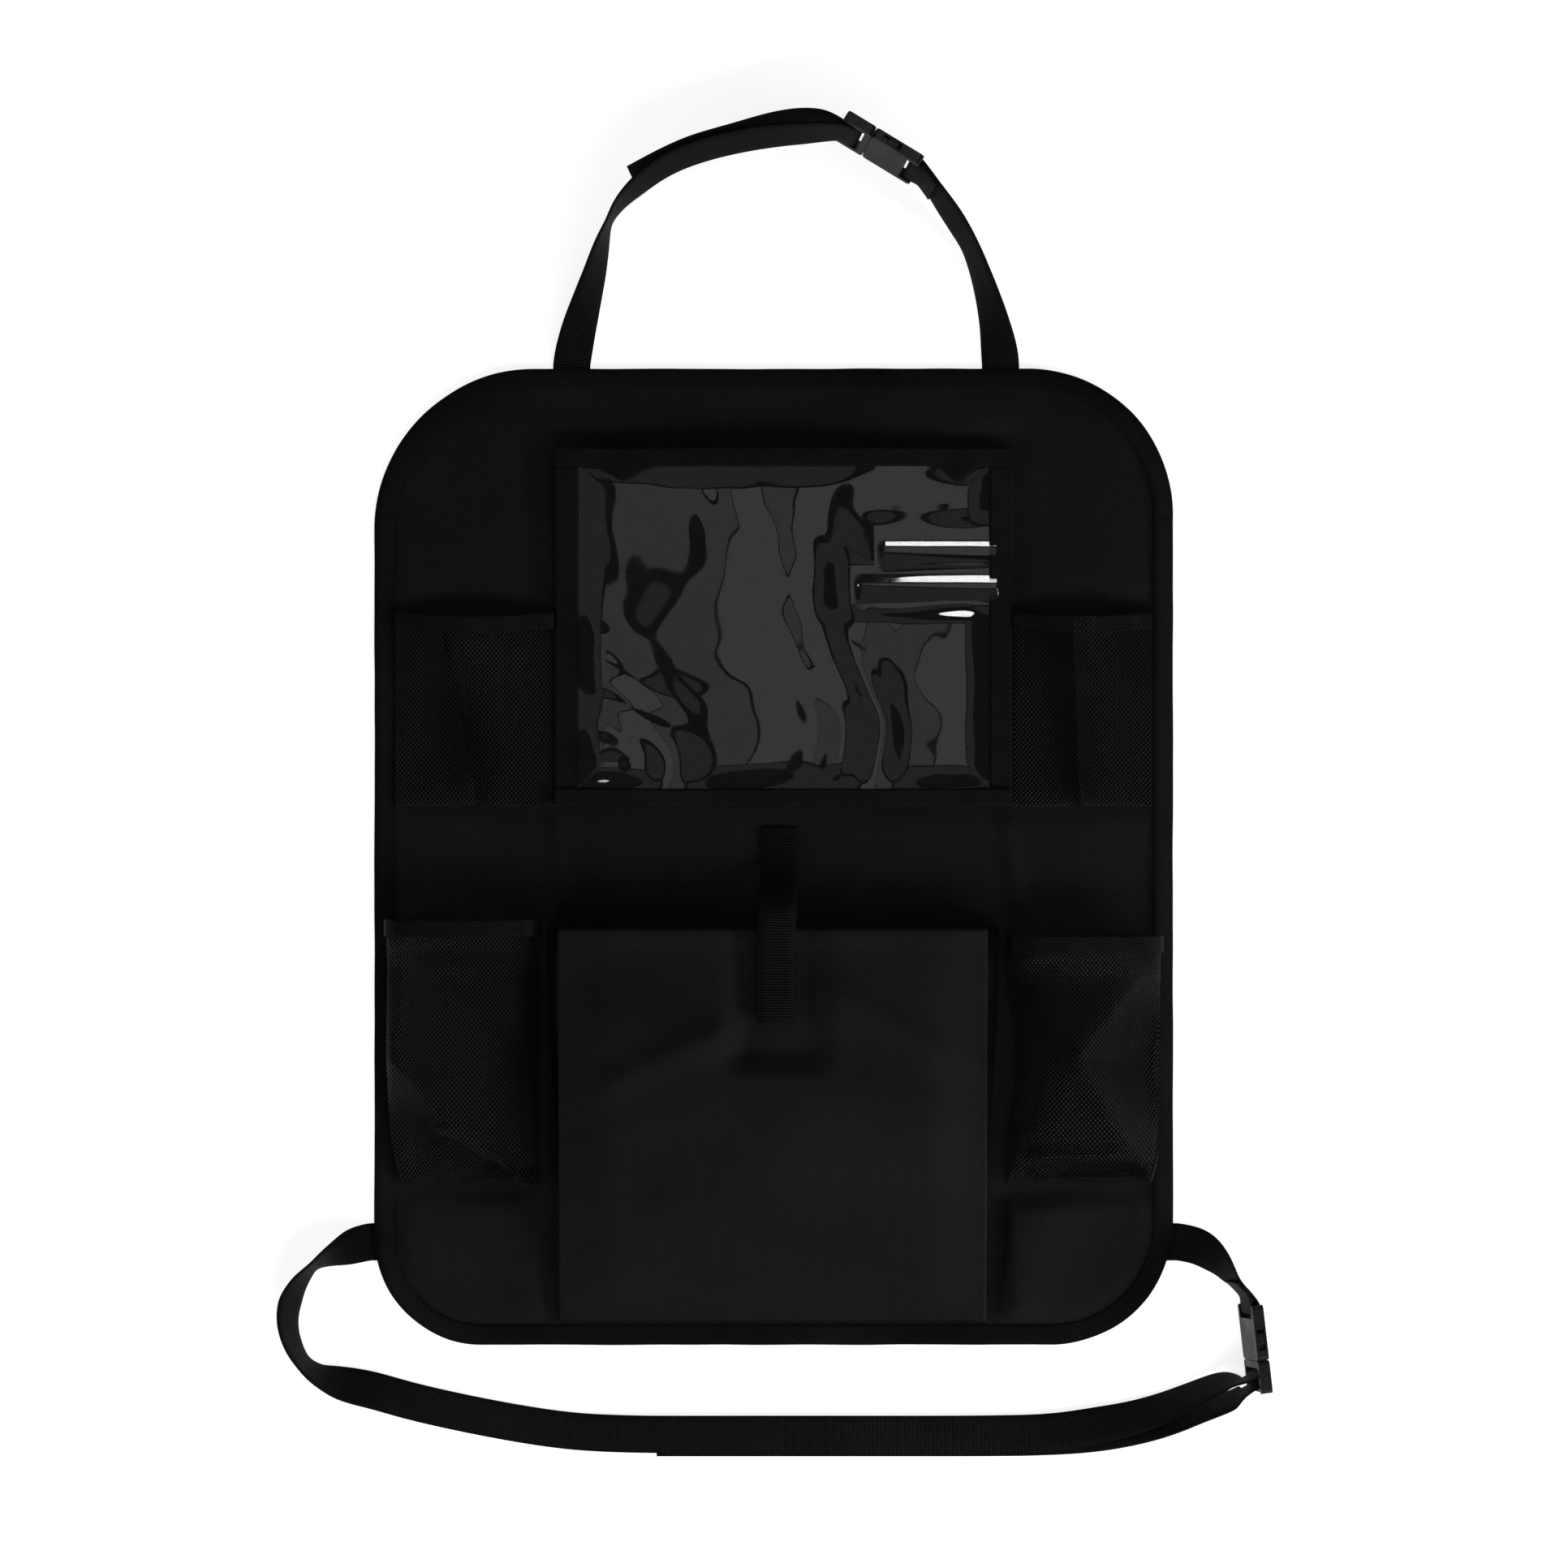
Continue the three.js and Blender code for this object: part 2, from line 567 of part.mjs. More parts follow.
// A buckle's own axes: along it from its adjuster end, across its width, and out of its face.
function buckleFrame(x, y, headingDegrees, rollDegrees, side) {
  const heading = THREE.MathUtils.degToRad(headingDegrees);
  const roll = THREE.MathUtils.degToRad(rollDegrees);
  const along = new THREE.Vector3(Math.cos(heading), Math.sin(heading), 0);
  const outwards = new THREE.Vector3(-Math.sin(heading), Math.cos(heading), 0).multiplyScalar(side);
  const up = new THREE.Vector3(0, 0, Math.sin(roll));
  const across = outwards.clone().multiplyScalar(Math.cos(roll)).add(up).multiplyScalar(side);
  const face = along.clone().cross(across);
  const height = (BUCKLE_WIDTH / 2) * Math.sin(roll) + (BUCKLE_THICKNESS / 2) * Math.cos(roll) + 0.1;
  const origin = new THREE.Vector3(x, y, height);
  const local = (a, c) => origin.clone().addScaledVector(along, a).addScaledVector(face, c);
  const matrix = new THREE.Matrix4().makeBasis(along, across, face).setPosition(origin);
  return { local, across, matrix };
}

const TOP_BUCKLE = buckleFrame(
  TOP_BUCKLE_X, TOP_EDGE + TOP_BUCKLE_UP, TOP_BUCKLE_HEADING, TOP_BUCKLE_ROLL, 1,
);
const LOWER_BUCKLE = buckleFrame(
  RIGHT_EDGE + LOWER_BUCKLE_OUT, BOTTOM_EDGE - LOWER_BUCKLE_DOWN, LOWER_BUCKLE_HEADING, LOWER_BUCKLE_ROLL, -1,
);

// Places along a buckle, from its adjuster end
const END_BAR = BAR + 0.4;
const MID_BAR = END_BAR + SLOT;
const MALE_FRONT = MID_BAR + BAR + SLOT;
const SLEEVE_START = MALE_FRONT + SHOULDER + FIT;
const SLEEVE_END = SLEEVE_START + SLEEVE_LENGTH;
const LOOP_BAR = SLEEVE_END + SLOT;
const BUCKLE_LENGTH = LOOP_BAR + BAR + 0.6;
const WEB_OPENING = BUCKLE_WIDTH - 2 * RAIL;

// A plate whose plan has rounded ends along the buckle, centred on its thickness
function buckleBlock([from, to], [low, high], thickness, round = 0.6) {
  const shape = new THREE.Shape();
  shape.moveTo(from + round, low);
  shape.lineTo(to - round, low);
  shape.absarc(to - round, low + round, round, -Math.PI / 2, 0);
  shape.absarc(to - round, high - round, round, 0, Math.PI / 2);
  shape.absarc(from + round, high - round, round, Math.PI / 2, Math.PI);
  shape.absarc(from + round, low + round, round, Math.PI, Math.PI * 1.5);
  const geometry = new THREE.ExtrudeGeometry(shape, { depth: thickness, bevelEnabled: false, curveSegments: 3 });
  return toSolid(geometry.translate(0, 0, -thickness / 2));
}

function buckleMale(name, frame) {
  const half = BUCKLE_WIDTH / 2;
  const opening = WEB_OPENING / 2;
  const bodyEnd = MALE_FRONT + SHOULDER;
  const cut = BUCKLE_THICKNESS + 2;
  let solid = buckleBlock([0, bodyEnd], [-half, half], BUCKLE_THICKNESS, 2);
  solid = solid.subtract(buckleBlock([-1, MALE_FRONT], [-opening, opening], cut, 0.2));
  const bar = (from) => buckleBlock([from, from + BAR], [-opening - 0.5, opening + 0.5], BAR_THICKNESS, 0.5);
  solid = solid.add(bar(0.4)).add(bar(MID_BAR));
  const inside = BUCKLE_THICKNESS - 2 * SLEEVE_WALL - 2 * FIT;
  const tip = bodyEnd + PRONG_LENGTH;
  const prongOuter = half - SLEEVE_WALL - FIT;
  for (const side of [-1, 1]) {
    const span = [side * prongOuter, side * (prongOuter - PRONG_WIDTH)].sort((a, b) => a - b);
    solid = solid.add(buckleBlock([bodyEnd - 1, tip], span, inside, 1));
    const latch = [side * (half - 0.2), side * (prongOuter - 1)].sort((a, b) => a - b);
    solid = solid.add(buckleBlock([tip - 8, tip - 1], latch, inside, 1));
  }
  solid = solid.add(buckleBlock([bodyEnd - 1, tip - 2], [-GUIDE_WIDTH / 2, GUIDE_WIDTH / 2], inside, 1));
  const geometry = fromSolid(solid).applyMatrix4(frame.matrix);
  addPiece(name, geometry, BUCKLE_BLACK);
}

function buckleFemale(name, frame) {
  const half = BUCKLE_WIDTH / 2;
  const opening = WEB_OPENING / 2;
  const inner = half - SLEEVE_WALL;
  const cavity = BUCKLE_THICKNESS - 2 * SLEEVE_WALL;
  const cut = BUCKLE_THICKNESS + 2;
  let solid = buckleBlock([SLEEVE_START, BUCKLE_LENGTH], [-half, half], BUCKLE_THICKNESS, 2.2);
  solid = solid.subtract(buckleBlock([SLEEVE_END, BUCKLE_LENGTH + 1], [-opening, opening], cut, 0.2));
  const bar = [BUCKLE_LENGTH - BAR - 0.4, BUCKLE_LENGTH - 0.4];
  solid = solid.add(buckleBlock(bar, [-opening - 0.5, opening + 0.5], BAR_THICKNESS, 0.5));
  solid = solid.subtract(buckleBlock([SLEEVE_START - 3, SLEEVE_END - 2.4], [-inner, inner], cavity, 0.2));
  const tip = MALE_FRONT + SHOULDER + PRONG_LENGTH;
  const sideWindow = [tip - WINDOW_LENGTH, tip + 0.6];
  for (const side of [-1, 1]) {
    const span = [side * (half + 1), side * (inner - 2)].sort((a, b) => a - b);
    solid = solid.subtract(buckleBlock(sideWindow, span, cavity, 0.4));
  }
  const geometry = fromSolid(solid).applyMatrix4(frame.matrix);
  addPiece(name, geometry, BUCKLE_BLACK);
}

// Through an adjuster: over its end bar, down the inner slot, under the middle bar, up the outer slot
// and out again below itself. Places are along the buckle and out of its face.
function adjusterStations({ local, across }, turn) {
  const facing = BAR_THICKNESS / 2 + FIT + WEBBING / 2;
  const layer = WEBBING + FIT + 0.2;
  const innerSlot = MID_BAR + BAR + SLOT / 2 - 0.1;
  const outerSlot = END_BAR + SLOT / 2;
  const over = [
    [1.6, facing + layer + 0.1],
    [6, facing + layer - 0.4],
    [MID_BAR + BAR / 2 + 0.3, facing + 0.7],
    [innerSlot - 0.5, facing - 0.3],
    [innerSlot, 0],
    [innerSlot - 1, -facing + 0.2],
    [MID_BAR + BAR / 2, -facing],
    [outerSlot + 0.9, -facing + 0.3],
    [outerSlot, 0],
    [outerSlot - 1.2, facing - 0.1],
    [1.5, facing + 0.1],
  ];
  return over.map(([a, c]) => ({ point: local(a, c), across: across.clone().multiplyScalar(turn) }));
}

// Round the loop bar: in below it, up through the slot, back over it, and sewn down to itself.
function loopStations({ local, across }, bend) {
  const facing = BAR_THICKNESS / 2 + FIT + WEBBING / 2;
  const bar = BUCKLE_LENGTH - 0.4 - BAR / 2;
  const slot = LOOP_BAR - SLOT / 2 - 0.1;
  const away = (a) => bend * Math.max(0, a - BUCKLE_LENGTH - 1) ** 1.5;
  const round = [
    [BUCKLE_LENGTH + 13, away(BUCKLE_LENGTH + 13)],
    [BUCKLE_LENGTH + 8, away(BUCKLE_LENGTH + 8) - 0.3],
    [BUCKLE_LENGTH + 4, away(BUCKLE_LENGTH + 4) - 0.8],
    [bar + 2.6, -facing + 0.3],
    [bar, -facing],
    [slot + 1, -facing + 0.3],
    [slot, 0],
    [slot + 1, facing - 0.3],
    [bar, facing],
    [bar + 2.6, facing - 0.1],
    [BUCKLE_LENGTH + 4, away(BUCKLE_LENGTH + 4) + 1.2],
    [BUCKLE_LENGTH + 8, away(BUCKLE_LENGTH + 8) + 1.6],
    [BUCKLE_LENGTH + 14, away(BUCKLE_LENGTH + 14) + 2],
  ];
  return round.map(([a, c]) => ({ point: local(a, c), across }));
}

// A stretch of a strap's route, whose places are given from an anchor on the panel
const fromAnchor = (x, y, route) => route.map(([alongX, alongY, ...rest]) => [x + alongX, y + alongY, ...rest]);

// The same stretch with its face turned over, for the tail that runs back from a buckle
const turnedOver = (stations) => stations.map(({ point, across }) => ({
  point, across: across.clone().multiplyScalar(-1),
}));

// Places on the top straps are given from the middle of the panel's top edge, and places on the
// lower straps from its bottom edge, at the left, in the middle or at the right.
function straps() {
  const make = (name, stations, perSpan) => addPiece(
    name, ribbon(stations, perSpan, WEBBING_WIDTH, WEBBING), WEBBING_BLACK,
  );
  make('top_left_strap', [
    ...rootStations(STRAP_ROOTS.topLeft),
    ...tableStations(fromAnchor(0, TOP_EDGE, [
      [-112.3, 11, -14, 0.7], [-109.3, 24, -29], [-105, 38.9, -45], [-100.7, 53.5, -57], [-97, 68.1, -69],
      [-92.8, 82, -85], [-86.5, 92.5, -76], [-77, 102, -66], [-62, 113.5, -60], [-44.5, 121.2, -58, 0.3],
      [-22.6, 127, -58, 0.6], [-0.6, 130.5, -59, 1.5], [17, 131.8, -62, 2.6],
    ])),
    ...adjusterStations(TOP_BUCKLE, -1),
    ...turnedOver(tableStations(fromAnchor(0, TOP_EDGE, [
      [28, 139, 63, 3.6], [12, 139.2, 60, 2], [-4, 136, 58, 1], [-22.6, 130.6, 58, 0.6],
      [-44.5, 124.4, 58, 0.3], [-62, 117, 60], [-80, 107.6, 62],
    ]))),
  ], 2);
  make('top_right_strap', [
    ...rootStations(STRAP_ROOTS.topRight),
    ...tableStations(fromAnchor(0, TOP_EDGE, [
      [126.9, 11, 20, 0.7], [124.6, 24, 40], [120.8, 38.9, 53], [116.2, 53.5, 62], [110.6, 68.1, 67, 0.5],
      [104, 79.5, 64, 1.5], [98.5, 88, 64, 3],
    ])),
    ...loopStations(TOP_BUCKLE, 0.09),
  ], 2);
  make('lower_left_strap', [
    ...rootStations(STRAP_ROOTS.sideLeft),
    ...tableStations([
      ...fromAnchor(LEFT_EDGE, BOTTOM_EDGE, [
        [-11.8, 55.9, 20, 0.4], [-22.8, 51.4, 55], [-33.8, 45, 79], [-41.8, 35.8, 67], [-47, 25, 57],
        [-48.4, 13, 62], [-45.5, 1, 68], [-39.3, -9.7, 74], [-30, -17, 62], [-18, -21.4, 34],
        [-1, -25.5, 9], [21.1, -32, 0, 0.2], [65.1, -41.6, 0],
      ]),
      ...fromAnchor(0, BOTTOM_EDGE, [
        [-116, -48.6, 0], [-84, -50.2, 0, 0.6], [-66, -50.4, 0, 1.6], [-20, -50.4, 0, 1.6],
        [40, -50.4, 0, 1.6], [90, -50.4, 0, 1.6],
      ]),
      ...fromAnchor(RIGHT_EDGE, BOTTOM_EDGE, [
        [-89, -50, 2, 1.7], [-65, -48.6, 9, 2], [-43, -45, 20, 1.6], [-22, -40.5, 33, 1],
        [-3, -33.7, 46, 0.8], [15, -25.5, 56, 2], [29, -19.4, 66, 4],
      ]),
    ]),
    ...lowerAdjuster(),
    ...turnedOver(tableStations([
      ...fromAnchor(RIGHT_EDGE, BOTTOM_EDGE, [
        [33, -30, -68, 3.6], [15, -36.4, -60, 1.6], [-3, -42.4, -48, 0.2], [-22, -46.4, -32],
        [-43, -49.6, -17], [-65, -51.4, -7], [-89, -52.2, -2],
      ]),
      ...fromAnchor(0, BOTTOM_EDGE, [
        [90, -52.4, 0], [40, -52.4, 0], [-10, -52.4, 0], [-66, -52.4, 0],
      ]),
    ])),
  ], 2);
  make('lower_right_strap', [
    ...rootStations(STRAP_ROOTS.sideRight),
    ...tableStations(fromAnchor(RIGHT_EDGE, BOTTOM_EDGE, [
      [13, 56, -14, 0.6], [21, 51.5, -34, 0.6], [27.6, 45.6, -56, 1.6],
    ])),
    ...loopStations(LOWER_BUCKLE, 0.16),
  ], 2);
}

// At the lower buckle the strap meets the bars nearly square on, and leaves the same way.
function lowerAdjuster() {
  const { local, across } = LOWER_BUCKLE;
  const through = adjusterStations(LOWER_BUCKLE, -1).slice(2, -1);
  const turned = across.clone().multiplyScalar(-1);
  return [
    { point: local(7.6, 8.5), across: turned },
    { point: local(8.6, 4.6), across: turned },
    ...through,
    { point: local(3, 5.4), across: turned },
    { point: local(1, 10), across: turned },
  ];
}

// The closure tab: sewn flat to the panel, then arching over the centre pocket's top edge and lying
// on its front, where a hook patch under it meets a loop patch on the pocket.
function closureTab() {
  const onPocket = (y) => centreFront(TAB_X, y) + CANVAS + FIT;
  const patchMiddle = TAB_END + PATCH_LENGTH / 2 + 3;
  const patch = (name, layer) => {
    const from = patchMiddle - PATCH_LENGTH / 2;
    addPiece(name, strip(
      2, 8, [TAB_X - PATCH_WIDTH / 2, TAB_X + PATCH_WIDTH / 2], [from, from + PATCH_LENGTH],
      (x, y) => onPocket(y) + 0.2 + layer * (PATCH + FIT), PATCH,
    ), WEBBING_BLACK);
  };
  patch('closure_loop_patch', 0);
  patch('closure_hook_patch', 1);
  const flat = CANVAS + FIT + WEBBING / 2;
  const onPatches = (y) => onPocket(y) + 0.2 + 2 * (PATCH + FIT) + WEBBING / 2;
  const crest = onPocket(CENTRE_TOP) + TAB_ARCH;
  const route = [
    [TAB_TOP, flat, 0.6],
    [TAB_TOP - TAB_SEWN / 2, flat, 0.5],
    [TAB_TOP - TAB_SEWN, flat, 0.3],
    [-9, flat + 4, 0.6],
    [-20, crest * 0.62, 0.4],
    [-31, crest - 2.4, 0],
    [CENTRE_TOP - 2, crest, -0.6],
    [-55, onPatches(-55) + 0.4, -1],
    [-68, onPatches(-68) + 0.1, -1.2],
    [-80, onPatches(-80) + 0.1, -1.2],
    [TAB_END, onPatches(TAB_END) + 0.1, -1.2],
  ];
  const stations = route.map(([y, z, aside]) => ({
    point: new THREE.Vector3(TAB_X + aside, y, z),
    across: new THREE.Vector3(1, 0, 0),
  }));
  addPiece('closure_tab', ribbon(stations, 3, WEBBING_WIDTH, WEBBING), WEBBING_BLACK);
}

// A small blank cloth label caught in the outer seam of the lower right pocket
function sideLabel(surface) {
  const point = (u, v) => {
    const y = LABEL_Y + (0.5 - v) * LABEL_LENGTH;
    const drop = (y - LOWER_RIGHT_TOP) / (LOWER_POCKET_BOTTOM - LOWER_RIGHT_TOP);
    const along = (2 / Math.PI) * Math.asin(drop);
    const seam = surface(0.15, along, LABEL + HEM_GAP);
    const inwards = surface(0.2, along, LABEL + HEM_GAP + 1).sub(seam).normalize();
    return seam.addScaledVector(inwards, LABEL_WIDTH * u);
  };
  addPiece('side_label', shell(2, 4, point, -LABEL, true), LABEL_GREY);
}

backPanel();
edgeBinding();
tabletPocket();
upperPocket('left', [-PANEL_WIDTH / 2 + RIM_END, TABLET_LEFT - 0.6], [-180, -165]);
upperPocket('right', [TABLET_RIGHT + 0.6, PANEL_WIDTH / 2 - RIM_END], [169, 174]);
centrePocket();
lowerPocket('left', -1, LOWER_LEFT_TOP, leftFold);
sideLabel(lowerPocket('right', 1, LOWER_RIGHT_TOP, rightFold));
closureTab();
straps();
buckleMale('top_buckle_male', TOP_BUCKLE);
buckleFemale('top_buckle_female', TOP_BUCKLE);
buckleMale('lower_buckle_male', LOWER_BUCKLE);
buckleFemale('lower_buckle_female', LOWER_BUCKLE);

export default group;
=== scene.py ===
# %% [markdown]
# A car seat back organizer, dressed for its portrait.
# The organizer is a flat panel of black canvas with pockets sewn to its front, hung on a seat by two
# webbing straps with side release buckles. It is nearly all cloth, so this lesson is about thin sheets:
# taking the coarse shape of each sheet from the measured frame, making it dense and smooth, giving it
# creases, and then giving it the weave that the real cloth has.

import json
import math
from itertools import permutations

import bmesh
import bpy
from mathutils import Matrix, Vector, noise
from mathutils.bvhtree import BVHTree

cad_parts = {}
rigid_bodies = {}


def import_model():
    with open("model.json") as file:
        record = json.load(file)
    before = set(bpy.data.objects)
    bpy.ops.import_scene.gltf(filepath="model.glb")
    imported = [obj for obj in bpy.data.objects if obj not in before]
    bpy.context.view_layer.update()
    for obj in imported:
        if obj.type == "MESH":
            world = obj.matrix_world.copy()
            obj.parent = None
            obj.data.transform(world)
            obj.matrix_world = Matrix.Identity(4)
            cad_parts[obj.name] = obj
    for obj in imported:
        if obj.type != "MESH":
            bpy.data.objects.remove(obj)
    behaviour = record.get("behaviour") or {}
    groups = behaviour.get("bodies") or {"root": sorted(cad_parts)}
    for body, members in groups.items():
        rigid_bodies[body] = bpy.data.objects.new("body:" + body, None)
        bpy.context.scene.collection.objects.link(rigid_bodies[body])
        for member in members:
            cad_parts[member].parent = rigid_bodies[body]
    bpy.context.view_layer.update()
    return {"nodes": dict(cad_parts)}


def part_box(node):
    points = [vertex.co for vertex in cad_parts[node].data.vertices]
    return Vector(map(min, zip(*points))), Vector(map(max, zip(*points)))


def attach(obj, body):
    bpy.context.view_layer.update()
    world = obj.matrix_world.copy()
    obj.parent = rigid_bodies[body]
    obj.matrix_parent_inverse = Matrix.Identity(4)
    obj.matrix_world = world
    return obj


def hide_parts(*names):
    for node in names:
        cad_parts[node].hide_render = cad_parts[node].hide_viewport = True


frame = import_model()
MM = 0.001
print("nodes in the frame:", len(frame["nodes"]))

# %% [markdown]
# The camera looks straight down, as the photographer's did. A long lens from high up keeps the
# sides of the deep pockets nearly hidden, and the picture is 884 mm wide at the height of the floor.

# %% Camera
PICTURE_WIDTH = 884 * MM
PICTURE_CENTRE = (5.8 * MM, 41.0 * MM)
CAMERA_HEIGHT = 3.6
SENSOR = 36.0
camera_data = bpy.data.cameras.new("camera")
camera_data.sensor_width = SENSOR
camera_data.lens = SENSOR * CAMERA_HEIGHT / PICTURE_WIDTH
camera = bpy.data.objects.new("camera", camera_data)
camera.location = (*PICTURE_CENTRE, CAMERA_HEIGHT)
bpy.context.scene.collection.objects.link(camera)
bpy.context.scene.camera = camera
bpy.context.scene.view_settings.view_transform = "Standard"
print("lens", round(camera_data.lens, 1), "mm")

# %% [markdown]
# Light. The cloth is lit from low down, since only a slanting light shows weave and folds in black.
# The boxes stand at the front and the sides, so the lower half is lighter than the top. What the
# clear window mirrors is the ceiling: a pair of panels that give the grey sheen, and a dimmer ring
# round them. Where the window's waves lean, they mirror the gaps between these as thin dark lines
# and the ring as a darker grey. The strip at the back is for the two white bands in the window.

# %% Studio lights, room and floor
ROOM_GREY = 0.06


def soft_box(name, place, aim, size, power):
    """A rectangular area light at a place, turned to face a point."""
    light = bpy.data.lights.new(name, "AREA")
    light.shape = "RECTANGLE"
    light.size, light.size_y = size
    light.energy = power
    lamp = bpy.data.objects.new(name, light)
    lamp.location = place
    lamp.rotation_euler = (Vector(aim) - Vector(place)).to_track_quat("-Z", "Y").to_euler()
    bpy.context.scene.collection.objects.link(lamp)


soft_box("front_box", (0.35, -0.95, 0.8), (0.05, -0.1, 0), (1.5, 0.34), 12.5)
soft_box("left_box", (-1.3, -0.5, 0.42), (0, -0.1, 0), (1.2, 0.35), 9)
soft_box("right_box", (1.3, -0.6, 0.36), (0, -0.2, 0), (1.2, 0.35), 21)
soft_box("back_strip", (0.3, 1.5, 1.2), (0.1, 0.17, 0), (1.0, 0.22), 9)

CEILING_HEIGHT = 4.0
CEILING_MIDDLE = 0.1
CEILING_PANEL = 1.75
CEILING_SPLIT = 0.05
CEILING_GAP = 0.2
CEILING_RING = 1.3
PANEL_GLOWS = {-1: 0.33, 1: 0.45}
RING_GLOW = 0.15
half_panel = (CEILING_PANEL - CEILING_SPLIT) / 2
ring_place = CEILING_PANEL / 2 + CEILING_GAP + CEILING_RING / 2
ring_length = CEILING_PANEL + 2 * (CEILING_GAP + CEILING_RING)
ceiling = []
for side in (-1, 1):
    half_place = side * (half_panel + CEILING_SPLIT) / 2
    ceiling += [
        (f"ceiling_panel_{side}", half_place, 0, (half_panel, CEILING_PANEL), PANEL_GLOWS[side]),
        (f"ceiling_side_{side}", side * ring_place, 0, (CEILING_RING, ring_length), RING_GLOW),
        (f"ceiling_end_{side}", 0, side * ring_place, (CEILING_PANEL, CEILING_RING), RING_GLOW),
    ]
for name, x, y, size, glow in ceiling:
    over = (x, CEILING_MIDDLE + y)
    soft_box(name, (*over, CEILING_HEIGHT), (*over, 0), size, glow * math.pi * size[0] * size[1])

room = bpy.data.worlds.new("room")
room.use_nodes = True
room.node_tree.nodes["Background"].inputs["Color"].default_value = (ROOM_GREY, ROOM_GREY, ROOM_GREY, 1)
bpy.context.scene.world = room

FLOOR_SIZE = 6.0
FLOOR_GREY = 0.4
FLOOR_GLOW = 0.78
floor_bm = bmesh.new()
bmesh.ops.create_grid(floor_bm, x_segments=1, y_segments=1, size=FLOOR_SIZE / 2)
floor_mesh = bpy.data.meshes.new("floor")
floor_bm.to_mesh(floor_mesh)
floor_bm.free()
floor = bpy.data.objects.new("floor", floor_mesh)
bpy.context.scene.collection.objects.link(floor)
paper = bpy.data.materials.new("white_paper")
paper.use_nodes = True
paper_shader = paper.node_tree.nodes["Principled BSDF"]
paper_shader.inputs["Base Color"].default_value = (FLOOR_GREY, FLOOR_GREY, FLOOR_GREY, 1)
paper_shader.inputs["Roughness"].default_value = 0.9
paper_shader.inputs["Specular IOR Level"].default_value = 0.1
paper_shader.inputs["Emission Color"].default_value = (1, 1, 1, 1)
paper_shader.inputs["Emission Strength"].default_value = FLOOR_GLOW
floor_mesh.materials.append(paper)

# %% [markdown]
# Small helpers for shader trees. A node is made in one line with its settings, and arithmetic on
# sockets reads like a formula, so that each pattern below stays short.

# %% Helpers for node trees


class Tree:
    """A shader tree with short names for the nodes that patterns are made of."""

    def __init__(self, tree):
        self.tree = tree

    def node(self, kind, **settings):
        made = self.tree.nodes.new(kind)
        for key, value in settings.items():
            setattr(made, key, value)
        return made

    def feed(self, socket, value):
        if isinstance(value, bpy.types.NodeSocket):
            self.tree.links.new(value, socket)
        else:
            socket.default_value = value

    def math(self, operation, first, second=0.0, clamp=False):
        made = self.node("ShaderNodeMath", operation=operation, use_clamp=clamp)
        self.feed(made.inputs[0], first)
        self.feed(made.inputs[1], second)
        return made.outputs[0]

    def vector(self, operation, first, second=(0, 0, 0), out=0):
        made = self.node("ShaderNodeVectorMath", operation=operation)
        self.feed(made.inputs[0], first)
        self.feed(made.inputs[1], second)
        return made.outputs[out]

    def remap(self, value, low, high, new_low=0.0, new_high=1.0):
        made = self.node("ShaderNodeMapRange")
        for socket, item in zip(made.inputs, (value, low, high, new_low, new_high)):
            self.feed(socket, item)
        return made.outputs[0]

    def axes(self, vector):
        made = self.node("ShaderNodeSeparateXYZ")
        self.feed(made.inputs[0], vector)
        return made.outputs[0], made.outputs[1]

    def noise(self, vector, scale, detail=2.0):
        made = self.node("ShaderNodeTexNoise")
        self.feed(made.inputs["Vector"], vector)
        made.inputs["Scale"].default_value = scale
        made.inputs["Detail"].default_value = detail
        return made.outputs["Fac"]


def group(name, inputs, outputs):
    """A new node group with named sockets: returns it, its tree helper and its two end nodes."""
    made = bpy.data.node_groups.new(name, "ShaderNodeTree")
    for label, kind, value in inputs:
        socket = made.interface.new_socket(name=label, in_out="INPUT", socket_type=kind)
        if value is not None:
            socket.default_value = value
    for label in outputs:
        made.interface.new_socket(name=label, in_out="OUTPUT", socket_type="NodeSocketFloat")
    tree = Tree(made)
    return made, tree, tree.node("NodeGroupInput"), tree.node("NodeGroupOutput")


VECTOR, FLOAT = "NodeSocketVector", "NodeSocketFloat"

# %% [markdown]
# Plain weave. Canvas is yarns that pass over and under each other like a chess board. On a white cell
# the lengthwise yarn is on top and on a black cell the crosswise one. Each yarn is round, which a sine
# gives, and which yarn is on top is the sign of two sines multiplied.

# %% Plain weave group
weave_group, tree, start, end = group(
    "plain_weave", [("Place", VECTOR, None), ("Pitch", FLOAT, 0.9 * MM)], ["Height"])
turns = tree.node("ShaderNodeVectorMath", operation="SCALE")
tree.feed(turns.inputs[0], start.outputs["Place"])
tree.feed(turns.inputs["Scale"], tree.math("DIVIDE", math.pi, start.outputs["Pitch"]))
along_x, along_y = tree.axes(turns.outputs[0])
sine_x = tree.math("SINE", along_x)
sine_y = tree.math("SINE", along_y)
round_x = tree.math("ABSOLUTE", sine_x)
round_y = tree.math("ABSOLUTE", sine_y)
warp_on_top = tree.math("GREATER_THAN", tree.math("MULTIPLY", sine_x, sine_y), 0.0)
warp = tree.math("MULTIPLY", round_x, tree.remap(round_y, 0.0, 1.0, 0.5, 1.0))
weft = tree.math("MULTIPLY", round_y, tree.remap(round_x, 0.0, 1.0, 0.5, 1.0))
warp_part = tree.math("MULTIPLY", warp, warp_on_top)
weft_part = tree.math("MULTIPLY", weft, tree.math("SUBTRACT", 1.0, warp_on_top))
tree.feed(end.inputs["Height"], tree.math("ADD", warp_part, weft_part))

# %% [markdown]
# Ribs. Webbing has ribs straight across it, and binding tape has a twill's slanted ones. Both are one
# sine of a distance that runs along the tape, leaning as it goes across, with a finer sine of the
# single yarns on top.

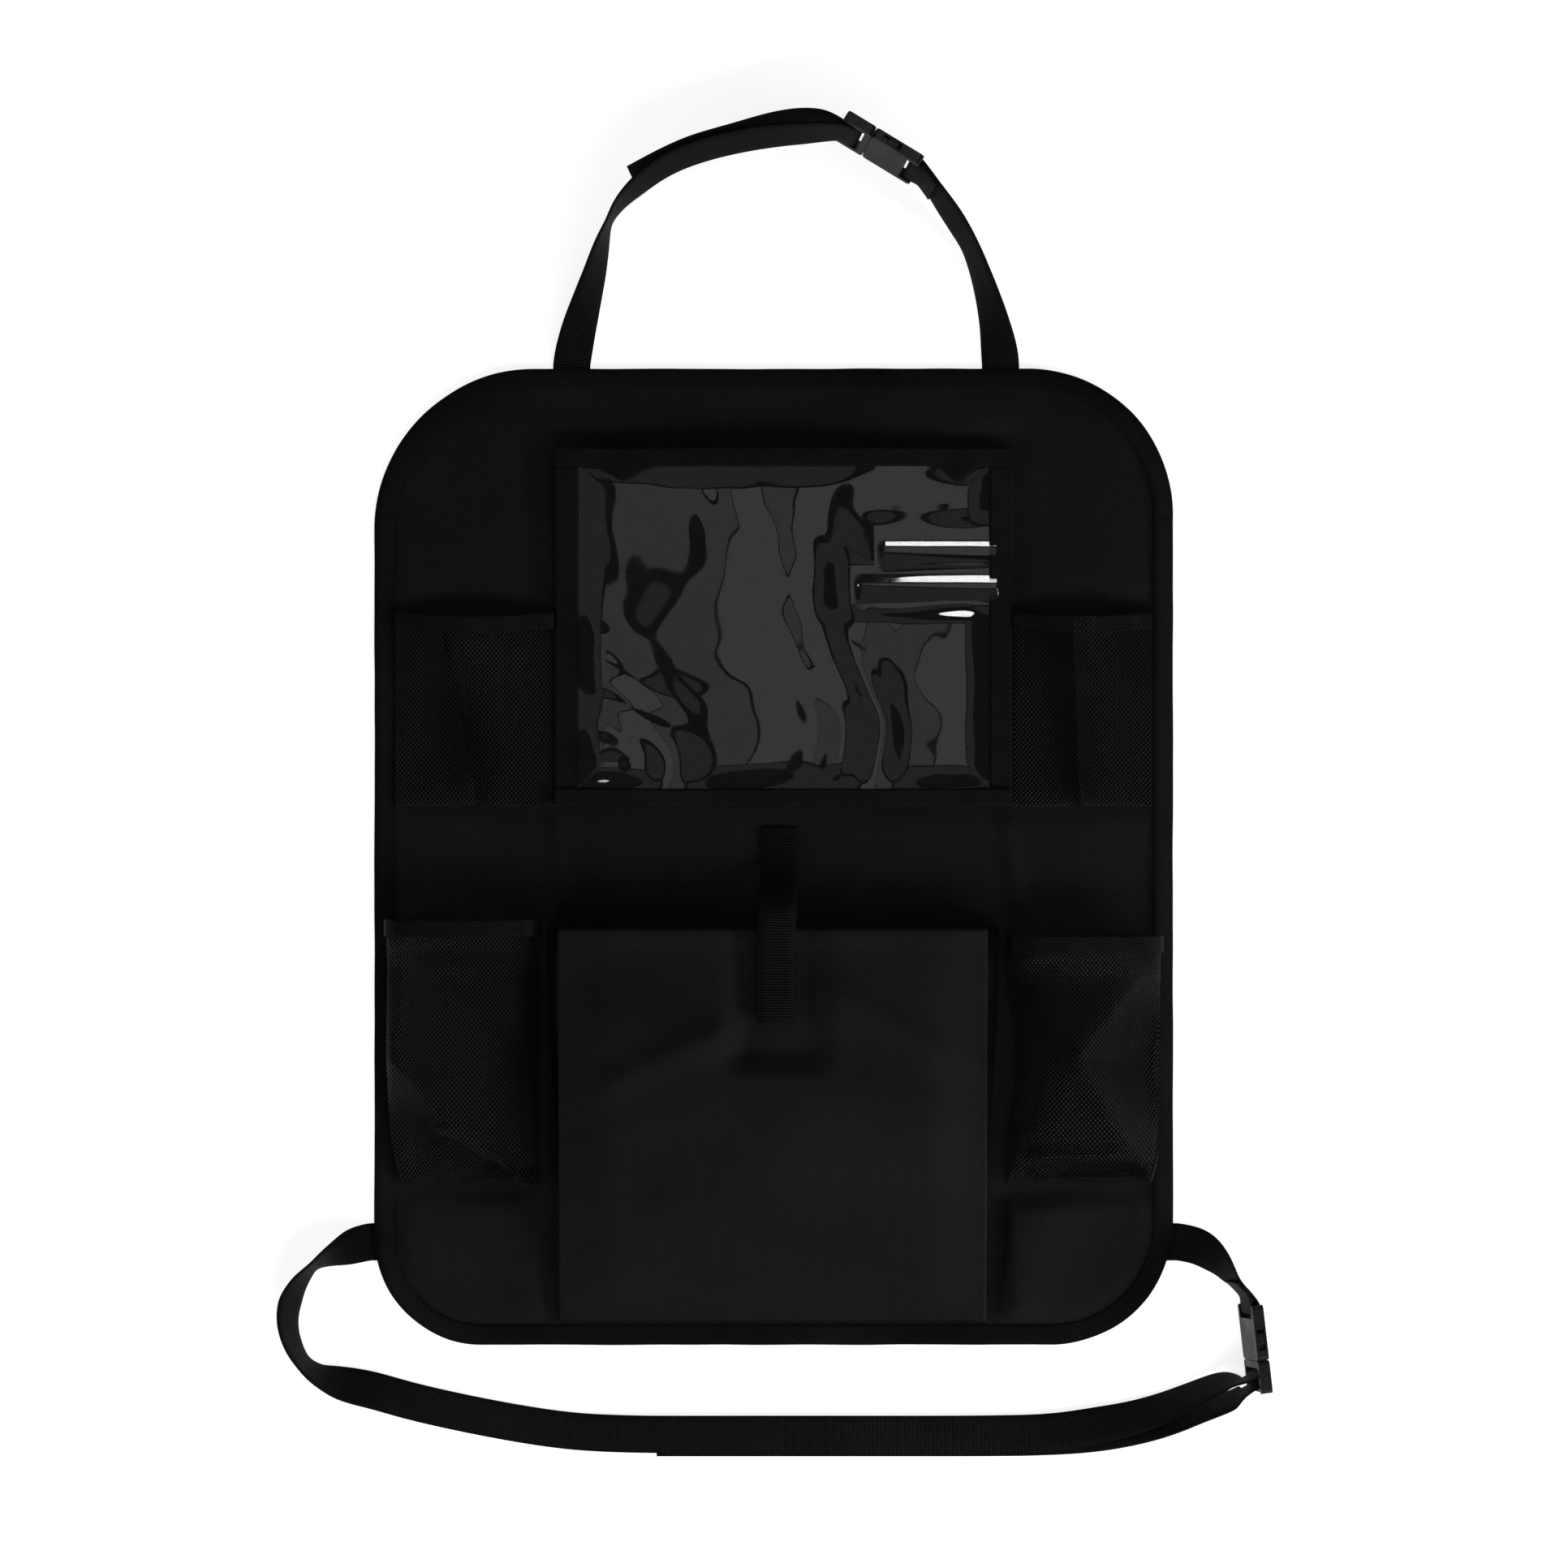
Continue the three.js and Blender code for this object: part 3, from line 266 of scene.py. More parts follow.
# %% Ribbed tape group
rib_group, tree, start, end = group(
    "tape_ribs",
    [("Place", VECTOR, None), ("Pitch", FLOAT, 1.5 * MM), ("Slant", FLOAT, 0.0), ("Yarn", FLOAT, 0.6 * MM)],
    ["Height"])
along, across = tree.axes(start.outputs["Place"])
leaning = tree.math("ADD", along, tree.math("MULTIPLY", across, start.outputs["Slant"]))
turns = tree.math("DIVIDE", tree.math("MULTIPLY", leaning, math.pi), start.outputs["Pitch"])
rib = tree.math("ABSOLUTE", tree.math("SINE", turns))
yarn_turns = tree.math("DIVIDE", tree.math("MULTIPLY", across, math.pi), start.outputs["Yarn"])
yarn = tree.math("ABSOLUTE", tree.math("SINE", yarn_turns))
tree.feed(end.inputs["Height"], tree.math("ADD", rib, tree.math("MULTIPLY", yarn, 0.3)))

# %% [markdown]
# Net. Pocket mesh is knitted with round holes in staggered rows, nearest to each other on the slant.
# Two plain grids of points, one moved by half a cell, together make the rows, and a hole is where the
# nearest point of either is closer than the hole's radius. The net is thin, so its holes are cut by
# Alpha and not modelled.

# %% Net group
net_group, tree, start, end = group(
    "net_holes", [("Place", VECTOR, None), ("Pitch", FLOAT, 2 * MM), ("Hole", FLOAT, 0.33)],
    ["Cloth", "Height"])
half_cell = (0.55, 0.65, 0.5)
THREAD_EDGE, THREAD_TOP = 0.22, 0.52
in_cells = tree.node("ShaderNodeVectorMath", operation="SCALE")
tree.feed(in_cells.inputs[0], start.outputs["Place"])
tree.feed(in_cells.inputs["Scale"], tree.math("DIVIDE", 1.0, start.outputs["Pitch"]))
flat_cells = tree.vector("MULTIPLY", in_cells.outputs[0], (1, 1, 0))


def to_nearest(tree, place):
    """Distance from the middle of the cell that a place falls in."""
    wrapped = tree.node("ShaderNodeVectorMath", operation="WRAP")
    tree.feed(wrapped.inputs[0], place)
    wrapped.inputs[1].default_value = half_cell
    wrapped.inputs[2].default_value = tuple(-side for side in half_cell)
    return tree.vector("LENGTH", wrapped.outputs[0], out=1)


shifted = tree.vector("ADD", flat_cells, (half_cell[0], half_cell[1], 0))
nearest = tree.math("MINIMUM", to_nearest(tree, flat_cells), to_nearest(tree, shifted))
tree.feed(end.inputs["Cloth"], tree.math("GREATER_THAN", nearest, start.outputs["Hole"]))
tree.feed(end.inputs["Height"], tree.remap(nearest, THREAD_EDGE, THREAD_TOP))

# %% [markdown]
# Wear. New black cloth still isn't one black: it is handled, folded and a little dusty. This group
# gives a slow cloudiness and a scatter of tiny pale flecks, to be mixed into any material.

# %% Wear group
CLOUD_SCALE = 14.0
FLECK_SCALE = 900.0
wear_group, tree, start, end = group("cloth_wear", [("Place", VECTOR, None)], ["Cloud", "Fleck"])
cloud = tree.noise(start.outputs["Place"], CLOUD_SCALE, 3.0)
tree.feed(end.inputs["Cloud"], tree.remap(cloud, 0.3, 0.7))
speck = tree.noise(start.outputs["Place"], FLECK_SCALE, 0.0)
tree.feed(end.inputs["Fleck"], tree.remap(speck, 0.74, 0.8))
print("pattern groups:", sorted(g.name for g in bpy.data.node_groups))

# %% [markdown]
# Cloth materials. Every cloth here is the same recipe: a nearly black colour that the wear group
# lightens in patches, a low specular level because dyed yarn hardly mirrors, and a Bump from the
# cloth's own pattern. The patches are held back where the pattern is low, so the hollows between
# yarns keep the dark colour as painted shade. The pattern is laid along the piece's UV map,
# which is in metres.

# %% Cloth materials
CLOUD_SHARE = 0.7
FLECK_SHARE = 0.6


def material(name, roughness, specular):
    """An empty Principled material: returns it, its tree helper and its shader."""
    made = bpy.data.materials.new(name)
    made.use_nodes = True
    shader = made.node_tree.nodes["Principled BSDF"]
    shader.inputs["Roughness"].default_value = roughness
    shader.inputs["Specular IOR Level"].default_value = specular
    return made, Tree(made.node_tree), shader


def cloth(name, dark, light, roughness, specular, pattern, depth, **settings):
    """A woven material: dark to light with wear, painted shade keeps its pattern's hollows dark, its relief
    is a pattern group.
    """
    made, tree, shader = material(name, roughness, specular)
    place = tree.node("ShaderNodeTexCoord")
    wear = tree.node("ShaderNodeGroup", node_tree=wear_group)
    tree.feed(wear.inputs["Place"], place.outputs["Object"])
    relief = tree.node("ShaderNodeGroup", node_tree=pattern)
    tree.feed(relief.inputs["Place"], place.outputs["UV"])
    for label, value in settings.items():
        relief.inputs[label].default_value = value
    wear_and_shade_colour = tree.node("ShaderNodeMix", data_type="RGBA")
    tree.feed(wear_and_shade_colour.inputs[6], (*dark, 1))
    tree.feed(wear_and_shade_colour.inputs[7], (*light, 1))
    # Painted shade: where the pattern is low, between yarns and round the net's holes, the wear's lightening
    # is cut to a tenth.
    painted_hollow_shade = tree.remap(relief.outputs["Height"], 0.0, 0.9, 0.1, 1.0)
    wear_with_hollow_shade = tree.math("MULTIPLY", tree.math("MULTIPLY", wear.outputs["Cloud"], CLOUD_SHARE), painted_hollow_shade)
    flecks = tree.math("MULTIPLY", wear.outputs["Fleck"], FLECK_SHARE)
    tree.feed(wear_and_shade_colour.inputs[0], tree.math("ADD", wear_with_hollow_shade, flecks, clamp=True))
    tree.feed(shader.inputs["Base Color"], wear_and_shade_colour.outputs[2])
    raised = tree.node("ShaderNodeBump")
    raised.inputs["Distance"].default_value = depth
    tree.feed(raised.inputs["Height"], relief.outputs["Height"])
    tree.feed(shader.inputs["Normal"], raised.outputs["Normal"])
    if "Cloth" in relief.outputs:
        tree.feed(shader.inputs["Alpha"], relief.outputs["Cloth"])
    return made


def black(value, blue=1.06):
    """A near black with the faint blue of black dye."""
    return (value, value, value * blue)


canvas = cloth("canvas", black(0.0009), black(0.0042), 0.6, 0.08, weave_group, 0.19 * MM, Pitch=0.95 * MM)
binding = cloth("binding_tape", black(0.0005), black(0.0055), 0.6, 0.06, rib_group, 0.9 * MM,
                Pitch=1.9 * MM, Slant=1.3, Yarn=0.7 * MM)
border = cloth("pocket_tape", black(0.0008), black(0.0035), 0.62, 0.06, weave_group, 0.18 * MM,
               Pitch=0.8 * MM)
net = cloth("mesh_fabric", black(0.0002), black(0.0066), 0.42, 0.13, net_group, 1.3 * MM,
            Pitch=2.2 * MM, Hole=0.32)
hem = cloth("hem_tape", black(0.0004), black(0.0034), 0.55, 0.06, rib_group, 0.3 * MM,
            Pitch=22 * MM, Slant=20.0, Yarn=1.1 * MM)
webbing = cloth("webbing", black(0.0005), black(0.0042), 0.6, 0.055, rib_group, 0.6 * MM, Pitch=1.5 * MM)
hook_tape = cloth("hook_and_loop", black(0.001), black(0.005), 0.8, 0.06, net_group, 0.5 * MM,
                  Pitch=1.4 * MM, Hole=0.05)
label_cloth = cloth("label_cloth", black(0.002), black(0.006), 0.6, 0.06, weave_group, 0.05 * MM,
                    Pitch=0.4 * MM)
thread = cloth("sewing_thread", black(0.0008), black(0.005), 0.5, 0.1, rib_group, 0.08 * MM, Pitch=0.5 * MM)

# %% [markdown]
# The window's vinyl is clear, smooth and soft. It is glass to the shader, with a slight grey. The
# moulded buckles are acetal with a fine spark-eroded grain and a dull shine.

# %% Vinyl and plastic
SMEAR_SCALE = 22.0
GRAIN_SCALE = 2600.0
GRAIN_DEPTH = 0.04 * MM
DULL_PATCH_SCALE = 60.0
vinyl, tree, shader = material("clear_vinyl", 0.02, 0.5)
shader.inputs["Transmission Weight"].default_value = 1.0
shader.inputs["IOR"].default_value = 1.5
place = tree.node("ShaderNodeTexCoord")
smear = tree.noise(place.outputs["Object"], SMEAR_SCALE, 4.0)
tree.feed(shader.inputs["Roughness"], tree.remap(smear, 0.35, 0.75, 0.012, 0.06))
tint = tree.node("ShaderNodeMix", data_type="RGBA")
tree.feed(tint.inputs[6], (0.8, 0.8, 0.82, 1))
tree.feed(tint.inputs[7], (0.68, 0.68, 0.71, 1))
tree.feed(tint.inputs[0], smear)
tree.feed(shader.inputs["Base Color"], tint.outputs[2])

plastic, tree, shader = material("buckle_plastic", 0.4, 0.12)
place = tree.node("ShaderNodeTexCoord")
grain = tree.noise(place.outputs["Object"], GRAIN_SCALE, 2.0)
cloud = tree.noise(place.outputs["Object"], DULL_PATCH_SCALE, 3.0)
shade = tree.node("ShaderNodeMix", data_type="RGBA")
tree.feed(shade.inputs[6], (*black(0.0015), 1))
tree.feed(shade.inputs[7], (*black(0.0032), 1))
tree.feed(shade.inputs[0], cloud)
tree.feed(shader.inputs["Base Color"], shade.outputs[2])
tree.feed(shader.inputs["Roughness"], tree.remap(cloud, 0.3, 0.7, 0.34, 0.5))
raised = tree.node("ShaderNodeBump")
raised.inputs["Distance"].default_value = GRAIN_DEPTH
tree.feed(raised.inputs["Height"], grain)
tree.feed(shader.inputs["Normal"], raised.outputs["Normal"])
print("materials:", len(bpy.data.materials))

# %% [markdown]
# Sheets from the frame. The frame holds each sheet as a thin closed solid with a coarse grid on either
# side. One skin of it, its triangles paired back into squares, is a good cage: subdivision turns it
# into a dense smooth sheet in the right place, and a Solidify gives it back its thickness.
# Retyping each sheet's shape here would risk a sheet that no longer fits its neighbours.

# %% Helpers for sheets
ANY_ANGLE = math.pi


def new_object(name, mesh):
    made = bpy.data.objects.new(name, mesh)
    bpy.context.scene.collection.objects.link(made)
    return made


def opened(obj):
    """An object's mesh, opened for bmesh operators."""
    bm = bmesh.new()
    bm.from_mesh(obj.data)
    return bm


def put_back(bm, obj):
    bm.to_mesh(obj.data)
    bm.free()
    return obj


def copy_of(node):
    """A merged copy of a frame node's mesh."""
    bm = opened(frame["nodes"][node])
    bmesh.ops.remove_doubles(bm, verts=bm.verts, dist=0.002 * MM)
    return bm


def islands(bm):
    """The connected parts of a mesh, as lists of vertices."""
    left = set(bm.verts)
    found = []
    while left:
        part = [left.pop()]
        for vert in part:
            for edge in vert.link_edges:
                other = edge.other_vert(vert)
                if other in left:
                    left.remove(other)
                    part.append(other)
        found.append(part)
    return found


def height_of(part):
    return sum(vert.co.z for vert in part) / len(part)


def skin(node, thickness):
    """The upper side of a sheet-like node, in squares: the rim, one thickness high, and the rest go."""
    bm = copy_of(node)
    rim = [face for face in bm.faces
           if any(abs(edge.calc_length() - thickness) < 0.01 * MM for edge in face.edges)]
    bmesh.ops.delete(bm, geom=rim, context="FACES")
    loose = [vert for vert in bm.verts if not vert.link_faces]
    bmesh.ops.delete(bm, geom=loose, context="VERTS")
    parts = sorted(islands(bm), key=height_of)
    for part in parts[:-1]:
        bmesh.ops.delete(bm, geom=part, context="VERTS")
    bmesh.ops.join_triangles(bm, faces=bm.faces, angle_face_threshold=ANY_ANGLE,
                             angle_shape_threshold=ANY_ANGLE)
    print(f"{node}: {len(parts)} skins, {len(bm.faces)} cage faces, "
          f"{sum(len(face.verts) == 3 for face in bm.faces)} triangles left")
    return bm


def flat_uv(bm):
    """UV in metres, straight down through the sheet."""
    layer = bm.loops.layers.uv.verify()
    for face in bm.faces:
        for loop in face.loops:
            loop[layer].uv = loop.vert.co.xy


def to_mesh(bm, name):
    mesh = bpy.data.meshes.new(name)
    bm.to_mesh(mesh)
    bm.free()
    return mesh


def applied(obj):
    """The object with its modifiers made part of its mesh."""
    graph = bpy.context.evaluated_depsgraph_get()
    mesh = bpy.data.meshes.new_from_object(obj.evaluated_get(graph))
    obj.modifiers.clear()
    obj.data = mesh
    return obj


def smoothed(obj, levels):
    """Subdivides a sheet smoothly, with its corners kept."""
    smoother = obj.modifiers.new("smooth", "SUBSURF")
    smoother.levels = smoother.render_levels = levels
    smoother.boundary_smooth = "PRESERVE_CORNERS"
    return applied(obj)


def unwrapped(obj):
    """Lays a curved sheet's UV flat, in metres and squared up with X."""
    bpy.context.view_layer.objects.active = obj
    obj.select_set(True)
    bpy.ops.object.mode_set(mode="EDIT")
    bpy.ops.mesh.select_all(action="SELECT")
    bpy.ops.uv.unwrap(method="ANGLE_BASED", margin=0)
    bpy.ops.object.mode_set(mode="OBJECT")
    obj.select_set(False)
    bm = opened(obj)
    layer = bm.loops.layers.uv.verify()
    real = sum(face.calc_area() for face in bm.faces)
    flat = 0.0
    lean = [0.0, 0.0]
    for face in bm.faces:
        corners = [loop[layer].uv for loop in face.loops]
        flat += abs(sum(a.x * b.y - b.x * a.y for a, b in zip(corners, corners[1:] + corners[:1]))) / 2
        side_uv = face.loops[1][layer].uv - face.loops[0][layer].uv
        side = face.loops[1].vert.co - face.loops[0].vert.co
        lean[0] += side_uv.x * side.x + side_uv.y * side.y
        lean[1] += side_uv.x * side.y - side_uv.y * side.x
    size = math.sqrt(real / flat)
    turn = Matrix.Rotation(math.atan2(lean[1], lean[0]), 2)
    for face in bm.faces:
        for loop in face.loops:
            loop[layer].uv = turn @ (loop[layer].uv * size)
    return put_back(bm, obj)


def thick(obj, thickness):
    """Gives a sheet its thickness, inwards from the skin that it was made from."""
    wall = obj.modifiers.new("thickness", "SOLIDIFY")
    wall.thickness = thickness
    wall.offset = -1.0
    wall.use_even_offset = False
    return applied(obj)


def finish(obj, look, slot, *nodes):
    """Shades a piece smooth, gives it its look, and ties it to the frame in place of its nodes."""
    obj.data.materials.clear()
    obj.data.materials.append(look)
    obj.data.shade_smooth()
    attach(obj, "root")
    if nodes:
        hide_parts(*nodes)
    return obj


def moved(obj, shift):
    """Moves each point of a sheet by what a function of its place gives."""
    bm = opened(obj)
    for vert in bm.verts:
        vert.co += Vector(shift(vert.co))
    return put_back(bm, obj)


def facing_up(obj):
    """Turns a sheet's faces to the side that looks up."""
    bm = opened(obj)
    bmesh.ops.recalc_face_normals(bm, faces=bm.faces)
    if sum(face.normal.z * face.calc_area() for face in bm.faces) < 0:
        bmesh.ops.reverse_faces(bm, faces=bm.faces)
    return put_back(bm, obj)


# %% [markdown]
# Folds. Sculpting by hand can't be repeated, so each fold in this lesson is a formula of the place on
# the plan. Four small shapes are enough: a smooth step, a soft bump, smooth noise for what has no order,
# and the distance from a drawn line, which turns a crease in the photograph into a crease in cloth.

# %% Helpers for folds


def step(low, high, value):
    """Rises smoothly from 0 at low to 1 at high."""
    part = min(max((value - low) / (high - low), 0.0), 1.0)
    return part * part * (3 - 2 * part)


def bump(value, middle, width):
    """A soft bump: 1 in the middle, and nearly 0 at twice its width away."""
    return math.exp(-(((value - middle) / width) ** 2))


def ripple(x, y, size, seed):
    """Smooth noise from -1 to 1 whose hills are about the given size apart."""
    return noise.noise(Vector((x / size, y / size, seed)))


def beside(x, y, line):
    """Signed distance from a crease: positive on the left of the way that its points run."""
    best = None
    place = Vector((x, y))
    for first, last in zip(line, line[1:]):
        first, last = Vector(first) * MM, Vector(last) * MM
        along = last - first
        share = min(max((place - first).dot(along) / along.length_squared, 0.0), 1.0)
        gap = place - (first + along * share)
        side = 1 if along.x * gap.y - along.y * gap.x > 0 else -1
        if best is None or gap.length < abs(best):
            best = side * gap.length
    return best


def fall(distance, outer, outer_reach, inner, inner_reach):
    """The share of its height that the net loses outside or inside a crease: a plane on each side."""
    if distance > 0:
        return outer * min(distance / outer_reach, 1.0)
    return inner * min(-distance / inner_reach, 1.0)


# %% [markdown]
# The panel is one piece of canvas. A plain grid gets the real outline by bending its corners: inside
# each corner's square, a point is drawn in so that the square's outer corner becomes a quarter circle.
# The cloth lies flat but not dead flat: it has low waves where nothing is sewn to it, and soft
# vertical creases in the middle band from being folded for sale. The waves only ever lift it.

# %% Panel outline
PANEL_WIDTH = 450 * MM
PANEL_HEIGHT = 550 * MM
CORNERS = {(-1, 1): 91 * MM, (1, 1): 82 * MM, (1, -1): 69 * MM, (-1, -1): 61 * MM}
CANVAS = 1.2 * MM
TUCK = 0.9 * MM
RIM_END = 11.8 * MM
RIM_SLOPE = 8 * MM
RIM_TOP = 2.1 * MM


def rounded(x, y):
    """Bends a rectangle's corner to a quarter circle, and leaves the rest of it alone."""
    side = (1 if x > 0 else -1, 1 if y > 0 else -1)
    radius = CORNERS[side]
    across = (abs(x) - PANEL_WIDTH / 2 + radius) / radius
    up = (abs(y) - PANEL_HEIGHT / 2 + radius) / radius
    if across <= 0 or up <= 0:
        return x, y
    new_across = across * math.sqrt(1 - up * up / 2)
    new_up = up * math.sqrt(1 - across * across / 2)
    return x + side[0] * (new_across - across) * radius, y + side[1] * (new_up - up) * radius


def inset_of(x, y):
    """How far inside the panel's outline a point is."""
    side = (1 if x > 0 else -1, 1 if y > 0 else -1)
    radius = CORNERS[side]
    across = abs(x) - PANEL_WIDTH / 2 + radius
    up = abs(y) - PANEL_HEIGHT / 2 + radius
    if across > 0 and up > 0:
        return radius - math.hypot(across, up)
    return min(radius - across, radius - up)


HEAD_BOTTOM = 234 * MM
SHOULDER_BOTTOM, SHOULDER_SIDE = 142 * MM, 138 * MM
BAND_TOP, BAND_BOTTOM = 27 * MM, -36 * MM
LOW_CORNER_TOP, LOW_CORNER_SIDE = -186 * MM, 126 * MM
LOW_CORNER_SHARE = 1.7
FADE, SIDE_FADE, LOW_FADE = 10 * MM, 8 * MM, 14 * MM
WAVE_SIZE, WAVE_HEIGHT = 46 * MM, 2.6 * MM
CREASES = (-123.7 * MM, 131.2 * MM)
CREASE_WIDTH, CREASE_HEIGHT, CREASE_LEAN = 3.5 * MM, 2.4 * MM, 0.12
LUMP_PLACE, LUMP_WIDTH, LUMP_HEIGHT, LUMP_LEAN = 214 * MM, 20 * MM, 2.2 * MM, 0.3
TAB_X = 2.4 * MM
TAB_CALM = 24 * MM


def panel_waves(x, y):
    """Low waves in the free cloth: above the tablet pocket, in the middle band and below the pockets."""
    low_corner = step(LOW_CORNER_TOP, LOW_CORNER_TOP - LOW_FADE, y)
    low_corner *= step(LOW_CORNER_SIDE, LOW_CORNER_SIDE + SIDE_FADE, abs(x))
    head = step(HEAD_BOTTOM, HEAD_BOTTOM + FADE, y)
    shoulder = step(SHOULDER_BOTTOM, SHOULDER_BOTTOM + FADE, y)
    shoulder *= step(SHOULDER_SIDE, SHOULDER_SIDE + SIDE_FADE, abs(x))
    band = step(BAND_BOTTOM, BAND_BOTTOM + FADE, y) * step(BAND_TOP, BAND_TOP - SIDE_FADE, y)
    free = max(LOW_CORNER_SHARE * low_corner, head, shoulder, band)
    free *= step(RIM_END, RIM_END + RIM_SLOPE, inset_of(x, y)) * (1 - bump(x, TAB_X, TAB_CALM))
    wave = 0.5 + 0.5 * ripple(x + 0.4 * y, y, WAVE_SIZE, 3.1)
    leaning_x = x + CREASE_LEAN * (y - BAND_TOP)
    crease = sum(bump(leaning_x, place, CREASE_WIDTH) for place in CREASES) * band
    lump = bump(x - LUMP_LEAN * y, LUMP_PLACE, LUMP_WIDTH) * low_corner
    return free * (WAVE_HEIGHT * wave + CREASE_HEIGHT * crease + LUMP_HEIGHT * lump)


# %% Panel cloth
PANEL_CELLS = (120, 146)
bm = bmesh.new()
bmesh.ops.create_grid(bm, x_segments=PANEL_CELLS[0], y_segments=PANEL_CELLS[1], size=0.5)
cut = 2 * TUCK
bmesh.ops.scale(bm, verts=bm.verts, vec=(PANEL_WIDTH - cut, PANEL_HEIGHT - cut, 1))
for vert in bm.verts:
    vert.co.x, vert.co.y = rounded(vert.co.x, vert.co.y)
flat_uv(bm)
for vert in bm.verts:
    x, y = vert.co.xy
    slope = min(max((inset_of(x, y) - RIM_END) / RIM_SLOPE, 0.0), 1.0)
    vert.co.z = RIM_TOP + (CANVAS - RIM_TOP) * slope + panel_waves(x, y)
panel = thick(new_object("panel_cloth", to_mesh(bm, "panel_cloth")), CANVAS)
finish(panel, canvas, "canvas", "back_panel")
print("panel faces:", len(panel.data.polygons))

# %% [markdown]
# The binding is a twill tape folded over the panel's raw edge. Its section is a U, and the way to
# make it is the way it is sewn: start with the section and draw it along each straight side, then
# spin it round each corner. The tape bridges two joins at the bottom.

# %% Edge binding
BINDING_WIDTH = 11.5 * MM
BINDING_TOP = 3.0 * MM
TAPE = 0.6 * MM
STRAIGHT_STEPS = 60
CORNER_STEPS = 40
SECTION = ((BINDING_WIDTH, 0.0), (6 * MM, 0.0), (TAPE, 0.0), (0.0, TAPE), (0.0, BINDING_TOP - TAPE),
           (TAPE, BINDING_TOP), (6 * MM, BINDING_TOP + 0.15 * MM), (BINDING_WIDTH - TAPE, BINDING_TOP),
           (BINDING_WIDTH, BINDING_TOP - TAPE))


def drawn(bm, verts, edges, shift, steps):
    """Draws an open section along a straight line, in steps."""
    for _ in range(steps):
        made = bmesh.ops.extrude_edge_only(bm, edges=edges)["geom"]
        verts = [item for item in made if isinstance(item, bmesh.types.BMVert)]
        edges = [item for item in made if isinstance(item, bmesh.types.BMEdge)]
        ends = set(verts)
        edges = [edge for edge in edges if edge.verts[0] in ends and edge.verts[1] in ends]
        bmesh.ops.translate(bm, verts=verts, vec=shift / steps)
    return verts, edges


half_width, half_height = PANEL_WIDTH / 2, PANEL_HEIGHT / 2
CORNER_ORDER = [(1, 1), (-1, 1), (-1, -1), (1, -1)]


def outline():
    """Goes round the panel: each corner's turns so far, centre and radius, and the straight after it."""
    for turn, corner in enumerate(CORNER_ORDER):
        following = CORNER_ORDER[(turn + 1) % 4]
        radius = CORNERS[corner]
        side = half_width if corner[1] == following[1] else half_height
        centre = Vector((corner[0] * (half_width - radius), corner[1] * (half_height - radius)))
        yield turn, centre, radius, 2 * side - radius - CORNERS[following]


bm = bmesh.new()
start_y = half_height - CORNERS[(1, 1)]
verts = [bm.verts.new((half_width - inset, start_y, z)) for inset, z in SECTION]
edges = [bm.edges.new(pair) for pair in zip(verts, verts[1:])]
for turn, centre, radius, length in outline():
    spun = bmesh.ops.spin(bm, geom=verts + edges, cent=centre.to_3d(), axis=(0, 0, 1), angle=math.pi / 2,
                          steps=CORNER_STEPS, use_duplicate=False, dvec=(0, 0, 0))["geom_last"]
    verts = [item for item in spun if isinstance(item, bmesh.types.BMVert)]
    edges = [item for item in spun if isinstance(item, bmesh.types.BMEdge)]
    angle = math.pi / 2 * (turn + 1)
    heading = Vector((-math.sin(angle), math.cos(angle), 0))
    verts, edges = drawn(bm, verts, edges, heading * length, STRAIGHT_STEPS)
bmesh.ops.remove_doubles(bm, verts=bm.verts, dist=0.02 * MM)
bmesh.ops.recalc_face_normals(bm, faces=bm.faces)
print("binding faces:", len(bm.faces), "open edges:", sum(edge.is_boundary for edge in bm.edges))


def run_along(x, y):
    """Distance along the panel's outline, from the start of the top right corner."""
    total = 0.0
    for turn, centre, radius, length in outline():
        local = Matrix.Rotation(-math.pi / 2 * turn, 2) @ (Vector((x, y)) - centre)
        if local.x >= -1e-7 and local.y >= -1e-7:
            return total + math.atan2(max(local.y, 0), max(local.x, 0)) * radius
        total += radius * math.pi / 2
        if local.y > 0 and -length <= local.x < 0:
            return total - local.x
        total += length
    return total


ROUND_TRIP = 1.9
layer = bm.loops.layers.uv.verify()
for face in bm.faces:
    places = [run_along(*loop.vert.co.xy) for loop in face.loops]
    wraps = max(places) - min(places) > 0.5
    for loop, place in zip(face.loops, places):
        x, y, z = loop.vert.co
        around = inset_of(x, y) if z > BINDING_TOP / 2 else -inset_of(x, y)
        loop[layer].uv = (place + (ROUND_TRIP if wraps and place < 0.5 else 0.0), around)
for vert in bm.verts:
    x, y, z = vert.co
    out = Vector((x, y, 0)).normalized()
    outer = 1 - min(max(inset_of(x, y) / BINDING_WIDTH, 0.0), 1.0)
    vert.co += out * 0.35 * MM * ripple(x, y, 26 * MM, 7.7) * outer
    if z > BINDING_TOP / 2:
        vert.co.z += 0.22 * MM * ripple(x, y, 14 * MM, 2.2)
tape = new_object("binding_tape", to_mesh(bm, "binding_tape"))
thick(tape, TAPE)
finish(tape, binding, "binding_tape", "edge_binding")

# %% [markdown]
# The tablet pocket: a sheet of clear vinyl held by tapes on all four sides. Vinyl takes a set from
# how it was packed, so it has slow random waves, pulled into folds that lean one way. Noise that is
# itself pushed about by noise gives such folds. Near the right edge it has two ridges straight
# across, whose even slopes catch the narrow light at the back as white bands.

